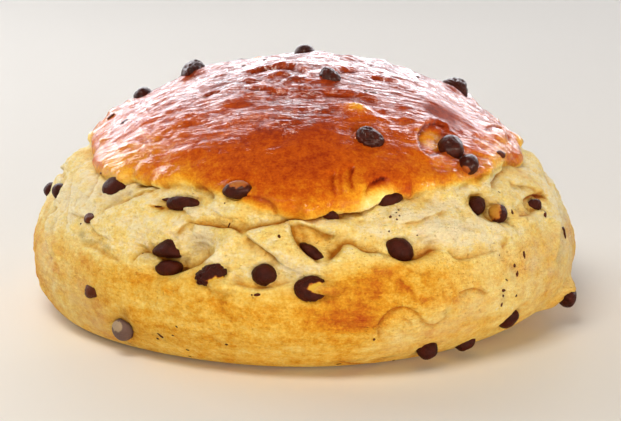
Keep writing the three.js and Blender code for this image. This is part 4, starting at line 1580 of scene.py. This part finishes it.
@dataclass
class ChocolateFlecks:
    """The flecks, pressed into the finished dough, and most of them again at the same places on the back.

    Attributes:
        form: the loaf's shape.
        dough: its finished mesh.
        sunk: how far a fleck is pressed in, as a share of half its height.
        melted: how much of its brown has run into the dough.
        seed: picks the bumps of the first fleck.
        bumps, rough: how many bumps a fleck has to its half length, and how high they are.
        large: the length above which a fleck has a finer mesh.
        approach: from how far off a place on the back is felt for.
        skin: finds where a line meets the dough.
    """

    form: LoafForm
    dough: bpy.types.Object
    sunk: float = 0.35
    melted: float = 0.18
    seed: int = 500
    bumps: float = 1.3
    rough: float = 0.3
    large: float = 2.4
    approach: float = 60
    skin: BVHTree = field(init=False)

    def __post_init__(self) -> None:
        """Makes the dough ready to be felt for."""
        mesh = self.dough.data
        self.skin = BVHTree.FromPolygons([v.co for v in mesh.vertices], [p.vertices for p in mesh.polygons])

    def build(self) -> bpy.types.Object:
        """Makes all the flecks as one piece, none of them repeated where the photograph would show it.

        Returns:
            The piece.
        """
        joined = bmesh.new()
        for index, fleck in enumerate(FLECKS):
            self._press(joined, fleck, index, VIEW.eye * MM, VIEW.ray(fleck.at))
            back = self.form.turned(self.form.seen(fleck.at))
            out = self.form.outward(back[None])[0]
            if out @ (VIEW.eye - back) < 0:
                self._press(joined, fleck, index + len(FLECKS), (back + out * self.approach) * MM, -out)
        mesh = bpy.data.meshes.new("chocolate_flecks")
        joined.to_mesh(mesh)
        joined.free()
        film = mesh.attributes.new("film", "FLOAT", "POINT")
        film.data.foreach_set("value", np.full(len(mesh.vertices), self.melted, np.float32))
        for name in ("bloom", "veil"):
            mesh.attributes.new(name, "FLOAT", "POINT")
        return placed("chocolate_flecks", mesh)

    def dress(self, piece: bpy.types.Object, chocolate: bpy.types.Material) -> None:
        """Gives the flecks the drops' material, and ties them to their body.

        Args:
            piece: the flecks that build made.
            chocolate: the drops' material.
        """
        piece.data.materials.append(chocolate)
        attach(piece, BODY)

    def _press(self, joined: bmesh.types.BMesh, fleck: Fleck, index: int, start: Array, ray: Array) -> None:
        """Adds one fleck where a line meets the dough, if it does.

        Args:
            joined: the mesh of all the flecks.
            fleck: its sizes.
            index: its number, which picks its bumps.
            start: where the line starts, in metres.
            ray: the way that it runs.
        """
        place, _, _, _ = self.skin.ray_cast(Vector(start), Vector(ray))
        if place is None:
            return
        middle = np.array(place) / MM
        along, across, out = self.form.axes_at(middle, fleck.turn)
        detail = 3 if max(fleck.size) > self.large else 2
        ball = bmesh.ops.create_icosphere(joined, subdivisions=detail, radius=1)["verts"]
        points = np.array([v.co for v in ball])
        points *= (1 + self.rough * LatticeNoise(self.seed + index)(points * self.bumps))[:, None]
        sized = points * np.array(fleck.size) / 2
        sized[:, 2] -= self.sunk * fleck.size[2] / 2
        moved = (middle + sized @ np.array([along, across, out])) * MM
        for vert, point in zip(ball, moved):
            vert.co = point
            for face in vert.link_faces:
                face.smooth = True


# ---- Materials ----
Socket = bpy.types.NodeSocket


def linear(colour: str) -> tuple[float, float, float, float]:
    """Turns an sRGB colour to the linear numbers that a shader takes.

    Args:
        colour: such as "#dfa950".

    Returns:
        Its red, green and blue, and 1 for opaque.
    """
    parts = [int(colour[i : i + 2], 16) / 255 for i in (1, 3, 5)]
    return (*(p / 12.92 if p <= 0.04045 else ((p + 0.055) / 1.055) ** 2.4 for p in parts), 1.0)


class Kind(Enum):
    """The kinds of node that the materials and the world use."""

    PLACE = "ShaderNodeTexCoord"
    CARRIED = "ShaderNodeAttribute"
    VECTOR = "ShaderNodeVectorMath"
    SPLIT = "ShaderNodeSeparateXYZ"
    NOISE = "ShaderNodeTexNoise"
    CELLS = "ShaderNodeTexVoronoi"
    RANGE = "ShaderNodeMapRange"
    MATH = "ShaderNodeMath"
    RAMP = "ShaderNodeValToRGB"
    MIX = "ShaderNodeMix"
    BUMP = "ShaderNodeBump"


class Nodes:
    """A node tree under construction."""

    def __init__(self, tree: bpy.types.NodeTree) -> None:
        """Takes a tree as it is.

        Args:
            tree: a material's or the world's.
        """
        self.tree = tree

    def fill(self, node: bpy.types.Node, links: dict[str | int, object]) -> None:
        """Links a node's sockets to others, or sets their values.

        Args:
            node: whose sockets they are.
            links: for each socket, by name or number, an output to link it to or a value to set.
        """
        for name, value in links.items():
            socket = node.inputs[name]
            if isinstance(value, Socket):
                self.tree.links.new(value, socket)
            else:
                socket.default_value = value

    def add(
        self,
        kind: Kind,
        links: dict[str | int, object],
        out: int | str = 0,
        stops: Sequence[tuple[float, str]] = (),
        **settings: object,
    ) -> Socket:
        """Adds a node with its settings and links.

        Args:
            kind: what it is.
            links: what goes into its sockets, as fill takes it.
            out: which of its outputs is wanted.
            stops: the places and colours of a ramp.
            settings: its own properties.

        Returns:
            That output.
        """
        made = self.tree.nodes.new(kind.value)
        for name, value in settings.items():
            setattr(made, name, value)
        if stops:
            elements = made.color_ramp.elements
            while len(elements) < len(stops):
                elements.new(1.0)
            for element, (position, colour) in zip(elements, stops):
                element.position = position
                element.color = linear(colour)
        self.fill(made, links)
        return made.outputs[out]


class Stuff(Nodes):
    """A material under construction, from Blender's principled surface."""

    def __init__(self, name: str) -> None:
        """Starts a plain material.

        Args:
            name: says what the stuff is.
        """
        self.material = bpy.data.materials.new(name)
        self.material.use_nodes = True
        super().__init__(self.material.node_tree)

    def surface(self, sockets: dict[str, object]) -> bpy.types.Material:
        """Fills the surface's own sockets, as fill takes them, and gives the finished material."""
        self.fill(self.tree.nodes["Principled BSDF"], sockets)
        return self.material


@dataclass(frozen=True)
class Grain:
    """A pattern in a material, at its size in millimetres.

    Attributes:
        size: over what length it changes, along X, Y and Z.
        detail: how many finer layers it has.
        roughness: how strong they are.
        flowing: whether X, Y and Z run with the way that the dough stretched, and not with the object.
    """

    size: tuple[float, float, float]
    detail: float = 3
    roughness: float = 0.55
    flowing: bool = False

    def drawn(self, stuff: Nodes) -> Socket:
        """Adds the pattern to a material.

        Args:
            stuff: the material under construction.

        Returns:
            The pattern, from 0 to 1.
        """
        if self.flowing:
            place = stuff.add(Kind.CARRIED, {}, "Vector", attribute_name="flow")
        else:
            place = stuff.add(Kind.PLACE, {}, "Object")
        per_metre = [1 / (size * MM) for size in self.size]
        scaled = stuff.add(Kind.VECTOR, {0: place, 1: per_metre}, operation="MULTIPLY")
        settings = {"Vector": scaled, "Scale": 1.0, "Detail": self.detail, "Roughness": self.roughness}
        return stuff.add(Kind.NOISE, settings, "Fac")


@dataclass(frozen=True)
class DoughFinish:
    """Egg-washed brioche dough: a butter dough that was brushed with beaten egg, risen, torn and baked.

    The brushed skin browns to orange and red-brown, and the egg dries on it to a clear glaze that mirrors the
    light in streaks, along the way that the dough stretched. Where the dough tore it stays pale and matt,
    with strands, pores and dust. Light goes a short way into all of it and comes out warm.

    A pixel of the photograph shows 0.34 mm, so a pattern finer than about 0.7 mm doesn't show in the render.
    """

    crusts: tuple[tuple[float, str], ...] = (
        (0.0, "#fdf0c4"),
        (0.12, "#fce388"),
        (0.26, "#f3c654"),
        (0.38, "#e6a426"),
        (0.5, "#d07a16"),
        (0.62, "#bd5410"),
        (0.74, "#9d380e"),
        (0.88, "#6f240f"),
        (1.0, "#4c170c"),
    )
    # painted shade: the warm brown that creases, hollows and the rings round the drops are darkened toward
    painted_fold_shade: str = "#c0964e"  # the colour that light takes on deep in a fold
    # painted shade: the brown that the open pits are darkened toward
    painted_pit_shade: str = "#b98544"
    in_grain: str = "#d2b98c"
    floury: str = "#dfd4b6"  # where torn dough is dry and dusty
    cocoa: str = "#6b4a3a"  # chocolate smeared on it or showing through
    # Bubbles under the skin are 2 to 3 mm across and brown first, by this much.
    mottle: Grain = Grain((2.6, 2.6, 2.6), 4, 0.6)
    mottled: float = 0.17
    # Specks of sugar and bran are 0.1 to 0.3 mm, drawn at 0.75 mm to show.
    speckle: Grain = Grain((0.75, 0.75, 0.75), 2, 0.6)
    speckled: float = 0.13
    # Strands of stretched dough are 0.3 to 1 mm thick. The finest are left out.
    fibre: Grain = Grain((3.5, 3.5, 1.0), 4, 0.65)
    fibrous: float = 0.09
    # The grain of dried dough is about 0.3 mm, drawn three times as coarse to show.
    grain: Grain = Grain((1.5, 1.5, 0.9), 3, 0.7)
    clouds: Grain = Grain((7, 7, 4), 4, 0.62)
    # Pores of the crumb are 0.2 to 0.7 mm. Only the largest show.
    pores: Grain = Grain((0.7, 0.7, 0.7), 3, 0.6)
    wrinkles: Grain = Grain((9, 2.0, 2.0), 3, 0.55, flowing=True)
    # Crinkles of the dried egg are about 0.3 mm apart, drawn at 0.8 mm to show.
    crinkles: Grain = Grain((4.0, 0.8, 0.8), 2, 0.5, flowing=True)
    # A brush leaves lines 0.2 mm apart, in bands of 1 to 2 mm. Only the bands show.
    brushed: Grain = Grain((16, 1.5, 1.5), 4, 0.6, flowing=True)
    pits_apart: float = 1.5  # millimetres
    pit_edge: tuple[float, float] = (0.08, 0.24)  # over what share of that a pit's side rises
    roughness: tuple[float, float] = (0.62, 0.42)  # bare, and under the glaze
    dough_ior: float = 1.45  # of starch and butter
    # Dried egg is near 1.5. It gets more, because its real small waves, too fine for this mesh, mirror more.
    egg_ior: float = 1.75
    egg_roughness: float = 0.07
    glow: float = 0.12  # how much light goes into it
    glow_depth: float = 2.5  # millimetres
    glow_colours: tuple[float, float, float] = (1.0, 0.45, 0.2)

    def material(self) -> bpy.types.Material:
        """Makes the material from the shades that the dough's mesh carries.

        Returns:
            The material.
        """
        stuff = Stuff("egg_washed_brioche_dough")
        shades = {name: stuff.add(Kind.CARRIED, {}, "Fac", attribute_name=name) for name in SHADES_CARRIED}
        mottle, fibre = self.mottle.drawn(stuff), self.fibre.drawn(stuff)
        bare = stuff.add(Kind.MATH, {0: 1.0, 1: shades["glaze"]}, operation="SUBTRACT")
        pits = self._pits(stuff, bare, mottle)
        # the brush leaves the egg thick in some streaks and thin in others
        streaks = {"Value": self.brushed.drawn(stuff), "From Min": 0.4, "From Max": 0.52, "To Min": 0.12}
        thick = stuff.add(Kind.RANGE, streaks)
        egg = stuff.add(Kind.MATH, {0: shades["gloss"], 1: thick}, operation="MULTIPLY")
        rough, smooth = self.roughness
        less = {"Value": shades["glaze"], "To Min": 0.16, "To Max": 0.02}
        dough_relief, glaze_relief = self._reliefs(stuff, bare, shades["gloss"], fibre, pits)
        return stuff.surface({
            "Base Color": self._colour(stuff, shades, bare, mottle, fibre, pits),
            "Roughness": stuff.add(Kind.RANGE, {"Value": shades["gloss"], "To Min": rough, "To Max": smooth}),
            "IOR": self.dough_ior,
            "Specular IOR Level": stuff.add(Kind.RANGE, less),
            "Subsurface Weight": self.glow,
            "Subsurface Radius": self.glow_colours,
            "Subsurface Scale": self.glow_depth * MM,
            "Coat Weight": egg,
            "Coat Roughness": self.egg_roughness,
            "Coat IOR": self.egg_ior,
            "Normal": dough_relief,
            "Coat Normal": glaze_relief,
        })

    def _pits(self, stuff: Stuff, bare: Socket, mottle: Socket) -> Socket:
        """Adds the little open bubbles of the bare dough.

        Args:
            stuff: the material under construction.
            bare: where no egg covers the dough.
            mottle: where more of them opened.

        Returns:
            How deep in a pit a point lies, from 0 to about 1.
        """
        place = stuff.add(Kind.PLACE, {}, "Object")
        cells = stuff.add(Kind.CELLS, {"Vector": place, "Scale": 1 / (self.pits_apart * MM)}, "Distance")
        inner, outer = self.pit_edge
        side = {"Value": cells, "From Min": inner, "From Max": outer, "To Min": 1.0, "To Max": 0.0}
        opened = stuff.add(Kind.RANGE, {"Value": mottle, "To Min": -0.6, "To Max": 1.9})
        strength = stuff.add(Kind.MATH, {0: bare, 1: opened}, operation="MULTIPLY")
        return stuff.add(Kind.MATH, {0: stuff.add(Kind.RANGE, side), 1: strength}, operation="MULTIPLY")

    def _colour(
        self,
        stuff: Stuff,
        shades: dict[str, Socket],
        bare: Socket,
        mottle: Socket,
        fibre: Socket,
        pits: Socket,
    ) -> Socket:
        """Adds the dough's colour.

        Args:
            stuff: the material under construction.
            shades: what the mesh carries.
            bare: where no egg covers the dough.
            mottle, fibre, pits: patterns that also make its relief.

        Returns:
            The colour.
        """
        browned = shades["browning"]
        speckle = self.speckle.drawn(stuff)
        for pattern, strength in ((mottle, self.mottled), (speckle, self.speckled), (fibre, self.fibrous)):
            more = stuff.add(Kind.RANGE, {"Value": pattern, "To Min": -strength, "To Max": strength})
            browned = stuff.add(Kind.MATH, {0: browned, 1: more}, operation="ADD")
        colour = stuff.add(Kind.RAMP, {"Fac": browned}, "Color", self.crusts)

        # between the grains of a dry surface it is a little darker, most of all where it has no glaze
        grain = stuff.add(Kind.RANGE, {"Value": self.grain.drawn(stuff), "From Min": 0.62, "From Max": 0.36})
        dry = stuff.add(Kind.RANGE, {"Value": bare, "To Min": 0.12, "To Max": 0.3})
        grainy = stuff.add(Kind.MATH, {0: grain, 1: dry}, operation="MULTIPLY")

        # dust lies in clouds, and nowhere quite clean where the dough has dried
        dust = {"Value": self.clouds.drawn(stuff), "From Min": 0.36, "From Max": 0.68, "To Min": 0.25}
        dusty = stuff.add(Kind.MATH, {0: stuff.add(Kind.RANGE, dust), 1: shades["dry"]}, operation="MULTIPLY")

        # painted shade: creases, hollows and the rings round the drops are darkened toward a warm brown
        sunk = stuff.add(Kind.RANGE, {"Value": shades["hollow"], "From Min": 0.52, "From Max": 0.95})
        painted_crease_shade = stuff.add(Kind.MATH, {0: shades["crease"], 1: 0.55}, operation="MULTIPLY")
        painted_hollow_shade = stuff.add(Kind.MATH, {0: sunk, 1: 0.65}, operation="MULTIPLY")
        deep = stuff.add(Kind.MATH, {0: painted_crease_shade, 1: painted_hollow_shade}, operation="ADD", use_clamp=True)

        smear = stuff.add(Kind.RANGE, {"Value": mottle, "To Min": 0.5, "To Max": 1.3})
        stained = stuff.add(Kind.MATH, {0: shades["cocoa"], 1: smear}, operation="MULTIPLY", use_clamp=True)
        # painted shade: the open pits are darkened
        pitted = stuff.add(Kind.MATH, {0: pits, 1: 0.3}, operation="MULTIPLY", use_clamp=True)
        for share, laid, blend in (
            (grainy, self.in_grain, "MULTIPLY"),
            (dusty, self.floury, "MIX"),
            (deep, self.painted_fold_shade, "MULTIPLY"),
            (stained, self.cocoa, "MIX"),
            (pitted, self.painted_pit_shade, "MULTIPLY"),
        ):
            links = {"Factor": share, 6: colour, 7: linear(laid)}
            colour = stuff.add(Kind.MIX, links, 2, data_type="RGBA", blend_type=blend)
        return colour

    def _reliefs(
        self, stuff: Stuff, bare: Socket, gloss: Socket, fibre: Socket, pits: Socket
    ) -> tuple[Socket, Socket]:
        """Adds the relief that is too fine for the mesh.

        Args:
            stuff: the material under construction.
            bare, gloss: where no egg covers the dough, and where the egg is glossy.
            fibre, pits: patterns that also colour the dough.

        Returns:
            The normals of the dough and of its glaze.
        """
        rougher = stuff.add(Kind.RANGE, {"Value": bare, "To Min": 0.2, "To Max": 1.0})
        pores, strands, holes, crinkles, wrinkles = (
            stuff.add(Kind.MATH, {0: pattern, 1: share}, operation="MULTIPLY")
            for pattern, share in (
                (self.pores.drawn(stuff), rougher),
                (fibre, bare),
                (pits, -1.0),
                (self.crinkles.drawn(stuff), gloss),
                (self.wrinkles.drawn(stuff), gloss),
            )
        )
        dough = self._bumps(stuff, ((pores, 0.8), (strands, 0.9), (holes, 0.25)))
        return dough, self._bumps(stuff, ((crinkles, 0.25), (wrinkles, 0.9)))

    def _bumps(self, stuff: Stuff, layers: Sequence[tuple[Socket, float]]) -> Socket:
        """Lays reliefs over one another.

        Args:
            stuff: the material under construction.
            layers: each relief, and how many millimetres it measures from its lowest to its highest.

        Returns:
            The normal of them all.
        """
        under = {}
        for height, depth in layers:
            links = {"Height": height, "Distance": depth * MM, "Strength": 1.0, **under}
            under = {"Normal": stuff.add(Kind.BUMP, links)}
        return under["Normal"]


@dataclass(frozen=True)
class ChocolateFinish:
    """Dark couverture drops that melted and set again in the oven.

    Untempered like that they are satin, near black with a red cast, and unevenly brown where the cocoa butter
    has come out. Egg wash that ran over a drop has baked to a golden film, and raw dough to a grey veil.
    """

    dark: str = "#270a04"
    light: str = "#551c0d"
    thin_film: str = "#a4531d"
    thick_film: str = "#d2ab3e"
    film_solid: float = 0.45  # how thick a film hides the chocolate
    thin_veil: str = "#66504a"
    thick_veil: str = "#c6b08c"
    veil_solid: float = 0.4
    cloud: Grain = Grain((2.2, 2.2, 2.2), 3, 0.6)
    # Set chocolate has a grain of about 0.05 mm, drawn ten times as coarse to show at all.
    grain: Grain = Grain((0.5, 0.5, 0.5), 3, 0.6)
    grain_depth: float = 0.3
    roughness: tuple[float, float] = (0.34, 0.54)
    ior: float = 1.46  # of cocoa butter
    shine: float = 0.28  # of the drops on top
    shine_roughness: float = 0.2

    def material(self) -> bpy.types.Material:
        """Makes the material from the shades that the drops' mesh carries.

        Returns:
            The material.
        """
        stuff = Stuff("baked_dark_chocolate")
        carried = ("film", "bloom", "veil")
        film, bloom, veil = (stuff.add(Kind.CARRIED, {}, "Fac", attribute_name=name) for name in carried)
        cloud, grain = self.cloud.drawn(stuff), self.grain.drawn(stuff)
        paler = stuff.add(Kind.RANGE, {"Value": cloud, "To Min": -0.3, "To Max": 1.0})
        browns = {"Factor": paler, 6: linear(self.dark), 7: linear(self.light)}
        colour = stuff.add(Kind.MIX, browns, 2, data_type="RGBA")

        uneven = stuff.add(Kind.RANGE, {"Value": cloud, "To Min": 0.75, "To Max": 1.2})
        clouded = stuff.add(Kind.MATH, {0: film, 1: uneven}, operation="MULTIPLY", use_clamp=True)
        film_stops = ((0.0, self.dark), (0.5, self.thin_film), (0.82, self.thick_film))
        veil_stops = ((0.0, self.dark), (0.45, self.thin_veil), (1.0, self.thick_veil))
        for cover, thickness, solid, stops in (
            (film, clouded, self.film_solid, film_stops),
            (veil, veil, self.veil_solid, veil_stops),
        ):
            hidden = stuff.add(Kind.RANGE, {"Value": cover, "From Max": solid})
            laid = stuff.add(Kind.RAMP, {"Fac": thickness}, "Color", stops)
            links = {"Factor": hidden, 6: colour, 7: laid}
            colour = stuff.add(Kind.MIX, links, 2, data_type="RGBA")

        smooth, rough = self.roughness
        relief = {"Height": grain, "Distance": self.grain_depth * MM, "Strength": 1.0}
        return stuff.surface({
            "Base Color": colour,
            "Roughness": stuff.add(Kind.RANGE, {"Value": grain, "To Min": smooth, "To Max": rough}),
            "IOR": self.ior,
            "Specular IOR Level": 0.14,
            "Coat Weight": stuff.add(Kind.MATH, {0: bloom, 1: self.shine}, operation="MULTIPLY"),
            "Coat Roughness": self.shine_roughness,
            "Normal": stuff.add(Kind.BUMP, relief),
        })


@dataclass(frozen=True)
class FloorFinish:
    """Matt painted board, which shows as an even pale ground without a reflection."""

    colour: str = "#ebe9e5"
    roughness: float = 0.7
    shine: float = 0.1

    def material(self) -> bpy.types.Material:
        """Makes the material.

        Returns:
            The material.
        """
        colour = linear(self.colour)
        sockets = {"Base Color": colour, "Roughness": self.roughness, "Specular IOR Level": self.shine}
        return Stuff("pale_studio_floor").surface(sockets)


# ---- The studio ----
class Side(Enum):
    """Where a light stands, as degrees round from the camera and above the floor."""

    BACK = (181, 38)
    SHEEN = (180, 26)
    LEFT_RIM = (-118, 20)
    RIGHT_RIM = (112, 18)
    LOW_RIGHT = (50, 3)
    KEY = (-24, 58)
    FILL = (8, 7)


@dataclass(frozen=True)
class SoftBox:
    """A rectangular soft light that faces the loaf.

    Attributes:
        side: where it stands.
        distance: from the loaf, in metres.
        size: its width and height, in metres.
        watts: its power.
        colour: its tint.
        sheen_only: whether it shows in reflections alone, as a card that is lit for its reflection.
    """

    side: Side
    distance: float
    size: tuple[float, float]
    watts: float
    colour: str = "#ffffff"
    sheen_only: bool = False

    def build(self, target: Vector) -> None:
        """Puts the light in the scene, turned to the target.

        Args:
            target: what it faces, in metres.
        """
        data = bpy.data.lights.new(self.side.name.lower(), "AREA")
        data.shape = "RECTANGLE"
        data.size, data.size_y = self.size
        data.energy = self.watts
        data.color = linear(self.colour)[:3]
        azimuth, rise = map(math.radians, self.side.value)
        flat = math.cos(rise)
        away = Vector((math.sin(azimuth) * flat, -math.cos(azimuth) * flat, math.sin(rise)))
        light = bpy.data.objects.new(data.name, data)
        light.location = target + away * self.distance
        light.rotation_euler = away.to_track_quat("Z", "Y").to_euler()
        light.visible_camera = False
        light.visible_diffuse = not self.sheen_only
        bpy.context.scene.collection.objects.link(light)


@dataclass(frozen=True)
class Studio:
    """A pale floor, soft lights and the photograph's camera, in metres but for the sensor's width.

    Attributes:
        aim: what the lights face.
        horizon, zenith: the strength of the air's own light low down and overhead.
        fade: where it changes between the two, as shares of the way from straight down to overhead.
    """

    boxes: tuple[SoftBox, ...] = (
        SoftBox(Side.BACK, 0.95, (1.6, 0.55), 2.0),
        SoftBox(Side.SHEEN, 0.9, (1.8, 0.64), 23.0, "#f8f8ff", sheen_only=True),
        SoftBox(Side.LEFT_RIM, 0.8, (0.45, 0.5), 2.9),
        SoftBox(Side.RIGHT_RIM, 0.8, (0.45, 0.4), 0.5),
        SoftBox(Side.LOW_RIGHT, 1.1, (0.6, 0.12), 3.3, "#fff1de"),
        SoftBox(Side.KEY, 1.0, (0.5, 0.3), 5.6, "#fff3e2"),
        SoftBox(Side.FILL, 1.4, (2.2, 0.3), 12.5, "#fff1de"),
    )
    aim: tuple[float, float, float] = (0, 0, 0.04)
    floor: FloorFinish = FloorFinish()
    floor_size: float = 6.0
    air: str = "#f3f2f0"
    horizon: float = 0.24
    zenith: float = 0.04
    fade: tuple[float, float] = (0.25, 0.75)
    sensor: float = 36

    def build(self) -> None:
        """Makes the floor, the lights, the world's light and the camera."""
        self._floor()
        for box in self.boxes:
            box.build(Vector(self.aim))
        self._world()
        self._camera()
        bpy.context.scene.view_settings.view_transform = "Standard"

    def _floor(self) -> None:
        """Lays the floor."""
        half = self.floor_size / 2
        corners = np.array([(-half, -half, 0), (half, -half, 0), (half, half, 0), (-half, half, 0)])
        floor = mesh_object("studio_floor", corners, np.array([(0, 1, 2), (0, 2, 3)]))
        floor.data.materials.append(self.floor.material())

    def _world(self) -> None:
        """Makes the world's own light, weaker overhead."""
        world = bpy.data.worlds.new("studio_air")
        world.use_nodes = True
        air = Nodes(world.node_tree)
        way = air.add(Kind.PLACE, {}, "Generated")
        height = air.add(Kind.SPLIT, {0: way}, "Z")
        low, high = self.fade
        links = {"Value": height, "From Min": low, "From Max": high}
        links |= {"To Min": self.horizon, "To Max": self.zenith}
        strength = air.add(Kind.RANGE, links, interpolation_type="SMOOTHSTEP")
        air.fill(world.node_tree.nodes["Background"], {"Color": linear(self.air), "Strength": strength})
        bpy.context.scene.world = world

    def _camera(self) -> None:
        """Puts the camera where the photograph was taken from."""
        width, height = VIEW.size
        data = bpy.data.cameras.new("camera")
        data.sensor_width = self.sensor
        data.lens = self.sensor * VIEW.distance / (width * VIEW.mm_per_pixel)
        camera = bpy.data.objects.new("camera", data)
        right = np.array([1.0, 0, 0]) * (width / 2 - VIEW.column) * VIEW.mm_per_pixel
        down = VIEW.upward * (height / 2 - VIEW.row) * -VIEW.mm_per_pixel
        camera.location = Vector((VIEW.eye + right + down) * MM)
        camera.rotation_euler = (math.radians(90 - VIEW.elevation), 0, 0)
        bpy.context.scene.collection.objects.link(camera)
        bpy.context.scene.camera = camera


def main() -> None:
    """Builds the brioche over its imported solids."""
    logging.basicConfig(level=logging.INFO, format="%(name)s: %(message)s")
    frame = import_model()
    drop_nodes = {name: node for name, node in frame["nodes"].items() if name.startswith("drop_")}

    Studio().build()

    loaf = Loaf()
    drops = ChocolateDrops(drop_nodes, loaf.form)
    dough = loaf.build(drops.seats())
    loaf.dress(dough)

    chocolate = drops.build()
    drops.dress(chocolate)

    flecks = ChocolateFlecks(loaf.form, dough)
    crumbs = flecks.build()
    flecks.dress(crumbs, chocolate.data.materials[0])

    for piece in (dough, chocolate, crumbs):
        log.info("%s: %d faces", piece.name, len(piece.data.polygons))


if __name__ == "__main__":
    main()
